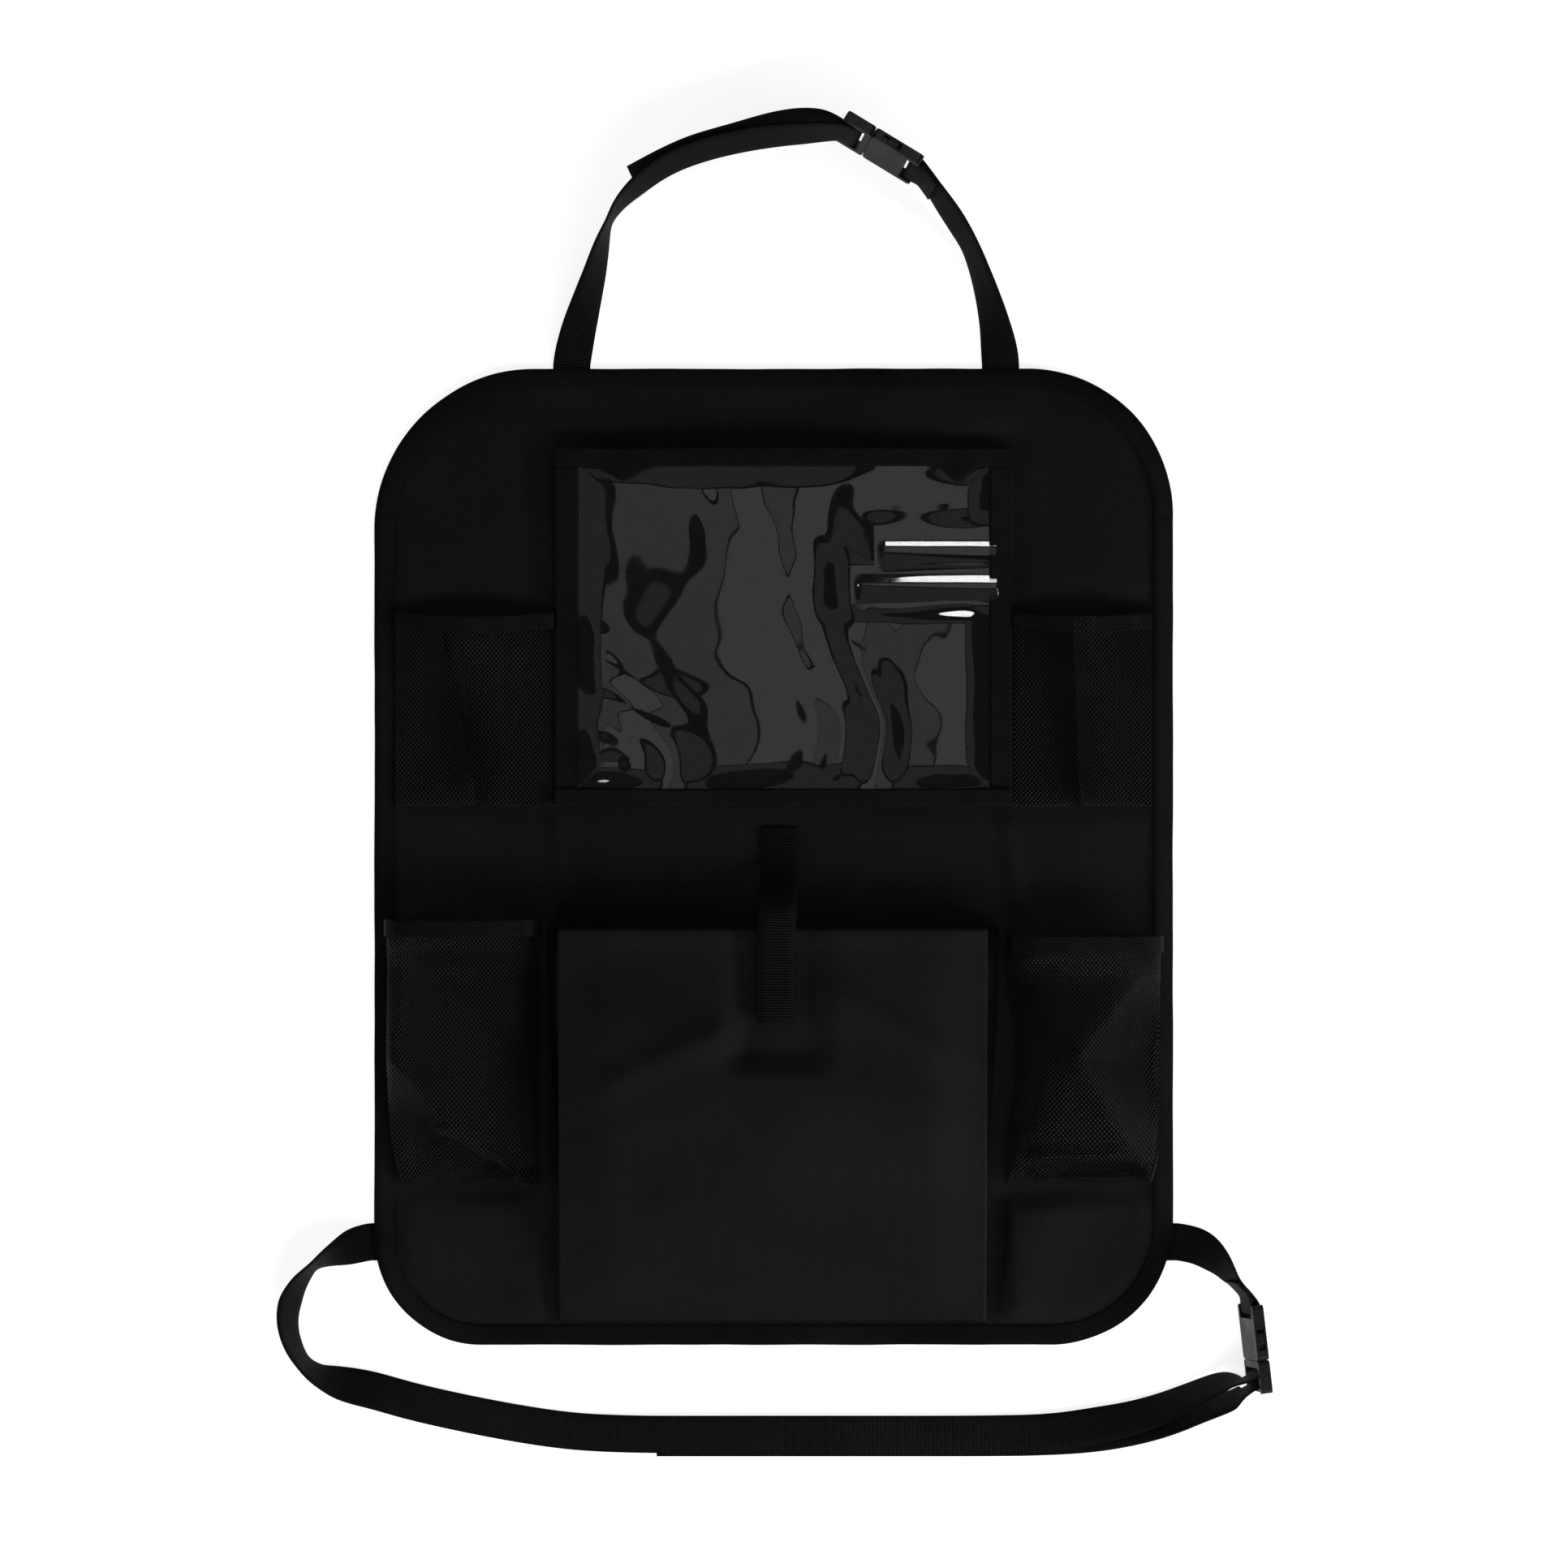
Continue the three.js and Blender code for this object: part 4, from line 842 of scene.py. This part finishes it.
# %% Tablet window
WINDOW_SHEET = 0.6 * MM
window_low, window_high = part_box("tablet_window")
WINDOW_RIDGES = ((174.5 * MM, 3.6 * MM, 58 * MM), (154 * MM, 5.4 * MM, 45 * MM))
VINYL_REST = 3.4 * MM
PUSH_SIZE, PUSH = 85 * MM, 46 * MM
LEAN_SIZE, LEAN_HEIGHT = 54 * MM, 6.0 * MM
FINE_SIZE, FINE_HEIGHT = 28 * MM, 0.8 * MM
SEWN_FADE = 22 * MM
RIDGE_SLOPE = 0.452
RIDGE_BACK = 17 * MM
RIDGE_PLOT = (Vector((38, 134)) * MM, Vector((136, 182)) * MM)


def window_waves(co):
    """How far the vinyl is moved up or down at a place."""
    x, y, _ = co
    edge = min(x - window_low.x, window_high.x - x, y - window_low.y, window_high.y - y)
    push = PUSH * ripple(x, y, PUSH_SIZE, 1.4)
    lean = ripple(x + push, y * 0.5 + push * 0.8, LEAN_SIZE, 5.2)
    fine = ripple(x + 2 * push, y + push, FINE_SIZE, 8.8)
    waves = VINYL_REST + LEAN_HEIGHT * lean + FINE_HEIGHT * fine
    ridge = 0.0
    calm = 0.0
    for at, width, start_x in WINDOW_RIDGES:
        here = step(start_x, start_x + 5 * MM, x)
        if at - RIDGE_BACK < y < at:
            ridge += here * RIDGE_SLOPE * width * step(at - RIDGE_BACK, at, y)
        elif at <= y < at + width:
            ridge += here * RIDGE_SLOPE * (at + width - y)
        calm = max(calm, step(start_x - 22 * MM, start_x + 2 * MM, x) * step(24 * MM, 9 * MM, abs(y - at)))
    return (0, 0, step(0, SEWN_FADE, edge) * waves * (1 - calm) + ridge * step(0, 3 * MM, edge))


bm = skin("tablet_window", WINDOW_SHEET)
flat_uv(bm)
window = smoothed(new_object("window_vinyl", to_mesh(bm, "window_vinyl")), 3)
bm = opened(window)
plot = [edge for edge in bm.edges
        if all(RIDGE_PLOT[0].x < vert.co.x < RIDGE_PLOT[1].x and RIDGE_PLOT[0].y < vert.co.y < RIDGE_PLOT[1].y
               for vert in edge.verts)]
bmesh.ops.subdivide_edges(bm, edges=plot, cuts=2, use_grid_fill=True)
facing_up(moved(put_back(bm, window), window_waves))
thick(window, WINDOW_SHEET)
finish(window, vinyl, "clear_vinyl", "tablet_window")
print("window faces:", len(window.data.polygons))

# %% [markdown]
# Tapes and flat net. The window's four tapes, the upper pockets and their hems all come from the frame
# in the same way. What differs is how wavy each is: tape that is sewn down puckers a little along its
# stitches, so its surface gets a short shallow ripple.

# %% Tapes, upper pockets and their hems
TAPE_THICKNESS = 1.0 * MM
NET_THICKNESS = 0.9 * MM


def pucker(size, depth, seed):
    """A function that moves a sheet's points up by a short ripple."""
    return lambda co: (0, 0, depth * ripple(co.x, co.y, size, seed))


def flat_sheet(name, node, thickness, levels, look, slot, shift):
    bm = skin(node, thickness)
    flat_uv(bm)
    piece = smoothed(new_object(name, to_mesh(bm, name)), levels)
    facing_up(moved(piece, shift))
    thick(piece, thickness)
    return finish(piece, look, slot, node)


DROOPS = ((-84 * MM, 9 * MM, 4.5 * MM), (104 * MM, 7 * MM, 5 * MM))
top_low, top_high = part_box("tablet_border_top")


def drooping(co):
    """The top tape isn't sewn along its lower edge, which hangs down over the window at two places."""
    free = step(top_high.y, top_low.y, co.y)
    hang = sum(depth * bump(co.x, at, width) for at, width, depth in DROOPS)
    return (0, -hang * free, 0.3 * MM * ripple(co.x, co.y, 11 * MM, 4.4) + 0.3 * hang * free)


for side in ("left", "right", "top", "bottom"):
    flat_sheet(f"window_tape_{side}", f"tablet_border_{side}", TAPE_THICKNESS, 3, border, "pocket_tape",
               drooping if side == "top" else pucker(11 * MM, 0.3 * MM, 4.4))
PLEATS = {"left": ((-184, 112), (-166.5, 30)), "right": ((168, 128), (172.5, 30))}
PLEAT_HEIGHT = 3.2 * MM
PLEAT_STEEP, PLEAT_GENTLE = 2.6 * MM, 17 * MM


def pleat(side):
    """A function that gives an upper pocket its standing fold, steep on the side of the window."""
    outward = 1 if side == "left" else -1

    def shift(co):
        away = beside(co.x, co.y, PLEATS[side]) * outward
        fold = math.exp(-away / PLEAT_STEEP) if away > 0 else math.exp(away / PLEAT_GENTLE)
        slack = 1.0 * MM * ripple(co.x, co.y * 0.4, 24 * MM, 6.1)
        return (0, 0, PLEAT_HEIGHT * fold + slack)

    return shift


for side in ("left", "right"):
    pocket = flat_sheet(f"upper_{side}_net", f"upper_{side}_mesh", NET_THICKNESS, 3, net, "mesh_fabric",
                        pleat(side))
    edge = flat_sheet(f"upper_{side}_edge", f"upper_{side}_hem", TAPE_THICKNESS, 3, hem, "hem_tape",
                      pucker(22 * MM, 0.25 * MM, 1.9))

# %% [markdown]
# The lower pockets are bags of net that stand out from the panel and have collapsed on themselves.
# Their sheets curve too much for a UV seen from above, so each is unwrapped: the holes of the net
# then stay round where the sheet turns away.

# %% Lower net pockets


def curved_sheet(name, node, thickness, levels, look, slot, shift):
    bm = skin(node, thickness)
    piece = facing_up(smoothed(new_object(name, to_mesh(bm, name)), levels))
    moved(unwrapped(piece), shift)
    thick(piece, thickness)
    return finish(piece, look, slot, node)


def still(co):
    return (0, 0, 0)


# %% [markdown]
# The collapsed net has a few sharp creases, and they are what the eye reads as loose net. Each crease
# is a line on the plan. On its outer side the sheet falls away steeply towards the panel, and on its
# inner side gently, so the line itself stands up as a ridge. The fall is a share of the sheet's
# height and never a length, so the net can't be pushed through the panel, and its wrinkles only lift it.

# %% Creases of the lower pockets
RIGHT_CREASE = ((222, -50), (171.5, -110.6), (186.2, -144.0), (204.5, -166.9), (222, -187))
LEFT_CREASE = ((-224, -110), (-207.1, -123.8), (-190.6, -141.7), (-172.7, -155.9), (-136, -187))
LEFT_CURL = ((-196, -152), (-179.6, -155.9), (-166.3, -164.6), (-140.7, -182.4))
POCKET_FLOOR = 3 * MM
BINDING_GAP = 3.8 * MM
MOST_LOST = 0.9
WRINKLE_SIZE, WRINKLE_HEIGHT, WRINKLE_SLANT = 16 * MM, 1.5 * MM, 0.7
GATHER_SIZE, GATHER_DEPTH = 21 * MM, 3.6 * MM
RIGHT_BELT, LEFT_BELT = (-56 * MM, -72 * MM), (-47 * MM, -64 * MM)
WAIST_DRAW, WAIST_LENGTH = 6 * MM, 118 * MM


def beside_binding(co):
    """The outer end of a pocket is sewn in beside the binding, so it is drawn in from the panel's edge."""
    drawn_in = BINDING_GAP * step(188 * MM, 216 * MM, abs(co.x))
    return (math.copysign(drawn_in, -co.x), 0, 0)


def collapsed(co, belt, loss, draw, slant, seed):
    """Moves a point of a lower net: down by its loss of height, up by wrinkles, and sideways by draw."""
    share = belt * min(max(loss, 0.0), MOST_LOST)
    down = max(co.z - POCKET_FLOOR, 0.0) * share
    rough = ripple(co.x + slant * co.y, co.y * 0.35, WRINKLE_SIZE, seed)
    wrinkle = WRINKLE_HEIGHT * (0.5 + 0.5 * rough) * belt
    gather = GATHER_DEPTH * ripple(co.x, 0, GATHER_SIZE, 4.9) + 0.6 * MM
    along = step(-160 * MM, -184 * MM, co.y) * gather
    return (draw + beside_binding(co)[0], along, wrinkle * (1 - 0.5 * share) - down)


def right_pocket_shift(co):
    """The outer side splays into a triangle, the inner side is drawn in, the bottom is a roll."""
    crease = fall(beside(co.x, co.y, RIGHT_CREASE), 0.9, 46 * MM, 0.5, 46 * MM)
    roll = bump(co.y, -178 * MM, 4.2 * MM) * 0.6 - bump(co.y, -169 * MM, 4 * MM) * 0.2
    roll *= step(138 * MM, 152 * MM, co.x) * step(216 * MM, 202 * MM, co.x)
    down_waist = min(max((RIGHT_BELT[0] - co.y) / WAIST_LENGTH, 0), 1)
    draw = WAIST_DRAW * math.sin(math.pi * down_waist) ** 2 * step(150 * MM, 133 * MM, co.x)
    return collapsed(co, step(*RIGHT_BELT, co.y), crease + roll, draw, WRINKLE_SLANT, 2.7)


def left_pocket_shift(co):
    """Below a crease from the outer edge to the inner bottom corner the net falls away, with a curl."""
    crease = fall(-beside(co.x, co.y, LEFT_CREASE), 0.85, 44 * MM, 0.45, 60 * MM)
    curl_gap = beside(co.x, co.y, LEFT_CURL)
    curl = bump(curl_gap, 0, 2.4 * MM) - 0.5 * bump(curl_gap, -7 * MM, 5 * MM)
    curl *= step(-196 * MM, -186 * MM, co.x)
    mouth = bump(co.y, -177 * MM, 3.6 * MM) * step(-166 * MM, -152 * MM, co.x)
    mouth *= step(-128 * MM, -138 * MM, co.x)
    loss = crease - 0.4 * curl + 0.5 * mouth
    return collapsed(co, step(*LEFT_BELT, co.y), loss, 0, -WRINKLE_SLANT, 6.3)


POCKET_SHIFTS = {"left": left_pocket_shift, "right": right_pocket_shift}
for side in ("left", "right"):
    pocket = curved_sheet(f"lower_{side}_net", f"lower_{side}_mesh", NET_THICKNESS, 3, net, "mesh_fabric",
                          POCKET_SHIFTS[side])
    edge = curved_sheet(f"lower_{side}_edge", f"lower_{side}_hem", TAPE_THICKNESS, 3, hem, "hem_tape",
                        beside_binding)
    gusset = curved_sheet(f"centre_side_{side}", f"centre_pocket_gusset_{side}", NET_THICKNESS, 2, canvas,
                          "canvas", still)

# %% [markdown]
# The big centre pocket is a canvas front on two folded sides. Its top edge is turned over and
# stitched, so the cloth there is double and stands a little higher. Its front is slack, with a few
# soft folds, all of which only lift the cloth. Round the closure tab it has none, or it would come up
# through the tab and its patches.

# %% Centre pocket
HEM_DEPTH, HEM_STEP = 8.7 * MM, 0.5 * MM
SIDE_REACH = 34 * MM
BELLY_PLACE, BELLY_WIDTH, BELLY_HEIGHT = 92 * MM, 40 * MM, 5 * MM
SLACK_SIZE, SLACK_HEIGHT = 44 * MM, 6.5 * MM
FRONT_FOLDS = (((-104, -132), (-6, -88), 3.2), ((24, -72), (108, -118), 2.8), ((-60, -196), (40, -232), 2.2))
FOLD_WIDTH = 10 * MM
BESIDE_TAB, BELOW_TAB = (36 * MM, 16 * MM), (84 * MM, 66 * MM)
pocket_low, pocket_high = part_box("centre_pocket_front")


def pocket_front(co):
    """The doubled hem, a slow belly and folds in the cloth, and short puckers along its sides."""
    from_top = pocket_high.y - co.y
    hem_step = HEM_STEP * step(HEM_DEPTH + 0.8 * MM, HEM_DEPTH, from_top)
    edge = min(co.x - pocket_low.x, pocket_high.x - co.x)
    free = step(0, SIDE_REACH, edge)
    free *= 1 - step(*BESIDE_TAB, abs(co.x - TAB_X)) * step(*BELOW_TAB, from_top)
    belly = BELLY_HEIGHT * bump(from_top, BELLY_PLACE + 0.15 * co.x, BELLY_WIDTH)
    slack = 0.5 + 0.5 * ripple(co.x * 0.6 + co.y * 0.4, co.y - 0.3 * co.x, SLACK_SIZE, 9.3)
    belly += SLACK_HEIGHT * slack * step(0, 26 * MM, co.y - pocket_low.y)
    for first, last, height in FRONT_FOLDS:
        belly += height * MM * bump(beside(co.x, co.y, (first, last)), 0, FOLD_WIDTH)
    tight = 0.3 * MM * ripple(co.x * 0.3, co.y, 12 * MM, 5.5) * step(16 * MM, 0, edge)
    return (0, 0, hem_step + belly * free + tight)


front = flat_sheet("centre_front", "centre_pocket_front", CANVAS, 3, canvas, "canvas", pocket_front)

# %% [markdown]
# Straps. Webbing is a flat ribbon that bends only one way, so it stands on its edge wherever it turns.
# The frame has each strap as a chain of four-cornered rings. Walking that chain from one end gives
# every ring its distance along the strap, which becomes the UV that the ribs follow. The long edges
# are creased so that subdivision rounds the bends and keeps the ribbon's section.

# %% Straps and closure tab
WEBBING_WIDTH = 21 * MM
WEBBING_THICKNESS = 1.2 * MM
SIDES = ((0, WEBBING_WIDTH), (0, WEBBING_THICKNESS), (WEBBING_WIDTH, 0), (0, WEBBING_THICKNESS))


def is_cap(face):
    """Whether a triangle is half of a strap's cut end: its two short sides are the strap's section."""
    short, middle, _ = sorted(edge.calc_length() for edge in face.edges)
    return abs(short - WEBBING_THICKNESS) < 0.02 * MM and abs(middle - WEBBING_WIDTH) < 0.02 * MM


def around_section(vert):
    """The neighbours of a ring's point that are one width or one thickness away."""
    found = {}
    for edge in vert.link_edges:
        for size in (WEBBING_WIDTH, WEBBING_THICKNESS):
            if abs(edge.calc_length() - size) < 0.02 * MM:
                found[size] = edge.other_vert(vert)
    return found


def rings_of(bm):
    """A strap's rings in order, each four places in the same order round its section."""
    cap = next(face for face in bm.faces if is_cap(face))
    first = min(cap.verts, key=lambda vert: sum((vert.co - other.co).length for other in cap.verts))
    steps = around_section(first)
    wide, thin = steps[WEBBING_WIDTH], steps[WEBBING_THICKNESS]
    across = around_section(wide)[WEBBING_THICKNESS]
    ring = [first, wide, across, thin]
    seen = set(ring)
    rings = [[vert.co.copy() for vert in ring]]
    while True:
        near = {edge.other_vert(vert) for vert in ring for edge in vert.link_edges} - seen
        if len(near) != 4:
            return rings
        ring = min(permutations(near), key=lambda order: sum(
            (a.co - b.co).length for a, b in zip(ring, order)))
        seen.update(ring)
        rings.append([vert.co.copy() for vert in ring])


def ribbon(name, node):
    """A strap drawn ring by ring, with its UV in metres along and across it."""
    old = copy_of(node)
    rings = rings_of(old)
    old.free()
    bm = bmesh.new()
    layer = bm.loops.layers.uv.verify()
    crease = bm.edges.layers.float.new("crease_edge")
    run = 0.0
    before = None
    for index, places in enumerate(rings):
        ring = [bm.verts.new(place) for place in places]
        if before:
            length = (sum(places, Vector()) / 4 - sum(rings[index - 1], Vector()) / 4).length
            for k in range(4):
                following = (k + 1) % 4
                face = bm.faces.new((before[k], before[following], ring[following], ring[k]))
                near_side, far_side = SIDES[k]
                end = run + length
                corners = ((run, near_side), (run, far_side), (end, far_side), (end, near_side))
                for loop, uv in zip(face.loops, corners):
                    loop[layer].uv = uv
                bm.edges.get((before[k], ring[k]))[crease] = 1.0
            run += length
        if index in (0, len(rings) - 1):
            bm.faces.new(ring)
            for k in range(4):
                bm.edges.get((ring[k], ring[(k + 1) % 4]))[crease] = 1.0
        before = ring
    bmesh.ops.recalc_face_normals(bm, faces=bm.faces)
    print(f"{name}: {len(rings)} rings, {run / MM:.0f} mm long")
    piece = smoothed(new_object(name, to_mesh(bm, name)), 2)
    return finish(piece, webbing, "webbing", node)


for name in ("top_left", "top_right", "lower_left", "lower_right"):
    ribbon(f"{name}_webbing", f"{name}_strap")
ribbon("closure_strap", "closure_tab")
for kind in ("hook", "loop"):
    flat_sheet(f"closure_{kind}_tape", f"closure_{kind}_patch", TAPE_THICKNESS, 2, hook_tape, "hook_and_loop",
               still)


LABEL_THICKNESS = 0.6 * MM
LABEL_HEIGHT = 15 * MM
LABEL_MOVE = (-0.8 * MM, -4 * MM)


def label_shift(co):
    """The label is caught in the same seam as the net, and is laid half as steep as the frame has it."""
    return (beside_binding(co)[0] + LABEL_MOVE[0], LABEL_MOVE[1], 0.5 * (LABEL_HEIGHT - co.z))


curved_sheet("edge_label", "side_label", LABEL_THICKNESS, 2, label_cloth, "label_cloth", label_shift)

# %% [markdown]
# Stitching. Every seam is a row of short stitches, a little sunk in the cloth. One stitch is a small
# block; a round of subdivision makes it a bead with few faces, which matters because there are more
# than a thousand. Each stitch is dropped from above on whatever cloth lies under the seam's line.

# %% Seams
STITCH_PITCH = 3.4 * MM
STITCH_SIZE = (2.7 * MM, 0.7 * MM, 0.5 * MM)


def surface_of(*pieces):
    """A search tree over finished pieces, for dropping things on them."""
    bm = bmesh.new()
    for piece in pieces:
        bm.from_mesh(piece.data)
    found = BVHTree.FromBMesh(bm)
    bm.free()
    return found


def straight(first, last):
    """Places and headings at stitch pitch between two points of a plan."""
    first, last = Vector(first), Vector(last)
    length = (last - first).length
    heading = (last - first).normalized()
    count = max(int(length / STITCH_PITCH), 1)
    return [(first + heading * length * (index + 0.5) / count, heading) for index in range(count)]


def sewn(name, slot, ground, lines):
    """Rows of stitches along lines of a plan, on a ground surface."""
    bm = bmesh.new()
    for place, heading in [item for line in lines for item in line]:
        drop = ground.ray_cast((place.x, place.y, 1.0), (0, 0, -1))
        if drop[0] is None:
            continue
        along = Vector((heading.x, heading.y, 0))
        along = (along - along.dot(drop[1]) * drop[1]).normalized()
        up = drop[1] if drop[1].z > 0 else -drop[1]
        basis = Matrix((along, up.cross(along), up)).transposed().to_4x4()
        size = Matrix.Diagonal((*STITCH_SIZE, 1))
        bmesh.ops.create_cube(bm, size=1, matrix=Matrix.Translation(drop[0]) @ basis @ size, calc_uvs=True)
    count = len(bm.faces) // 6
    print(f"{name}: {count} stitches")
    return finish(smoothed(new_object(name, to_mesh(bm, name)), 1), thread, slot)


def round_outline(inset):
    """Stitch places round the panel, at an inset from its edge."""
    line = []
    for turn, centre, corner_radius, length in outline():
        radius = corner_radius - inset
        count = int(radius * math.pi / 2 / STITCH_PITCH)
        for index in range(count):
            angle = math.pi / 2 * (turn + (index + 0.5) / count)
            out = Vector((math.cos(angle), math.sin(angle)))
            line.append((centre + out * radius, Vector((-out.y, out.x))))
        angle = math.pi / 2 * (turn + 1)
        out = Vector((math.cos(angle), math.sin(angle)))
        start = centre + out * radius
        line += straight(start, start + Vector((-out.y, out.x)) * length)
    return line


def rows(node, along, inset, offsets):
    """Straight rows through a node's box, along its X (0) or its Y (1) and short of its ends by an inset.

    Each row lies at an offset from the box's low side, or from its high side if the offset is negative.
    """
    low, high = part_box(node)
    found = []
    for offset in offsets:
        ends = []
        for end in (low[along] + inset, high[along] - inset):
            place = [0.0, 0.0]
            place[along] = end
            place[1 - along] = (high if offset < 0 else low)[1 - along] + offset
            ends.append(place)
        found.append(straight(*ends))
    return found


BINDING_SEAM = 9.4 * MM
HEM_ROWS = {"upper": (-8.2 * MM, -3 * MM), "lower": (-8.4 * MM, -3 * MM)}
pieces = bpy.data.objects
sewn("binding_seam", "binding_tape", surface_of(tape), [round_outline(BINDING_SEAM)])
tapes = surface_of(*(pieces[f"window_tape_{side}"] for side in ("left", "right", "top", "bottom")))
sewn("window_seams", "pocket_tape", tapes, [
    *rows("tablet_border_left", 1, 3 * MM, (2 * MM, -2 * MM)),
    *rows("tablet_border_right", 1, 3 * MM, (2 * MM, -2 * MM)),
    *rows("tablet_border_bottom", 0, 2 * MM, (1.6 * MM, -1.6 * MM)),
    *rows("tablet_border_top", 0, 2 * MM, (-2 * MM, -8.6 * MM)),
])
for height in ("upper", "lower"):
    for side in ("left", "right"):
        sewn(f"{height}_{side}_hem_seam", "hem_tape", surface_of(pieces[f"{height}_{side}_edge"]),
             rows(f"{height}_{side}_hem", 0, 1 * MM, HEM_ROWS[height]))
side_rows = (pocket_high.x - 1.6 * MM, pocket_high.x - 5.4 * MM, pocket_low.x + 1.6 * MM)
sewn("centre_pocket_seams", "canvas", surface_of(front), [
    *rows("centre_pocket_front", 0, 1 * MM, (-7.8 * MM,)),
    *[straight((x, pocket_low.y), (x, pocket_high.y - 1 * MM)) for x in side_rows],
])
tab_low, tab_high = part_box("closure_tab")
box_left, box_right = tab_low.x + 2.4 * MM, tab_high.x - 2.4 * MM
box_top, box_bottom = tab_high.y - 1.6 * MM, tab_high.y - 14.5 * MM
sewn("closure_seams", "webbing", surface_of(pieces["closure_strap"]), [
    straight((box_left, box_top), (box_right, box_top)),
    straight((box_left, box_bottom), (box_right, box_bottom)),
    straight((box_left, box_bottom), (box_left, box_top)),
    straight((box_right, box_bottom), (box_right, box_top)),
    straight((box_left, box_bottom), (box_right, box_top)),
    straight((box_left, tab_low.y + 2 * MM), (box_right, tab_low.y + 2 * MM)),
    straight((box_left, tab_low.y + 34 * MM), (box_right, tab_low.y + 34 * MM)),
])

# %% [markdown]
# The buckles are moulded, so every edge that the frame has sharp is a small round on the real ones.
# A merged copy with a Bevel limited by angle gives all of them at once.

# %% Buckles
MOULD_ROUND = 0.35 * MM
SHARP = math.radians(38)
for where in ("top", "lower"):
    for half in ("male", "female"):
        node = f"{where}_buckle_{half}"
        piece = new_object(f"{where}_{half}_moulding", to_mesh(copy_of(node), node))
        rounder = piece.modifiers.new("mould_round", "BEVEL")
        rounder.width = MOULD_ROUND
        rounder.segments = 2
        rounder.limit_method = "ANGLE"
        rounder.angle_limit = SHARP
        rounder.use_clamp_overlap = True
        finish(applied(piece), plastic, "buckle_plastic", node)
        piece.data.shade_flat()
        print(piece.name, len(piece.data.polygons), "faces")
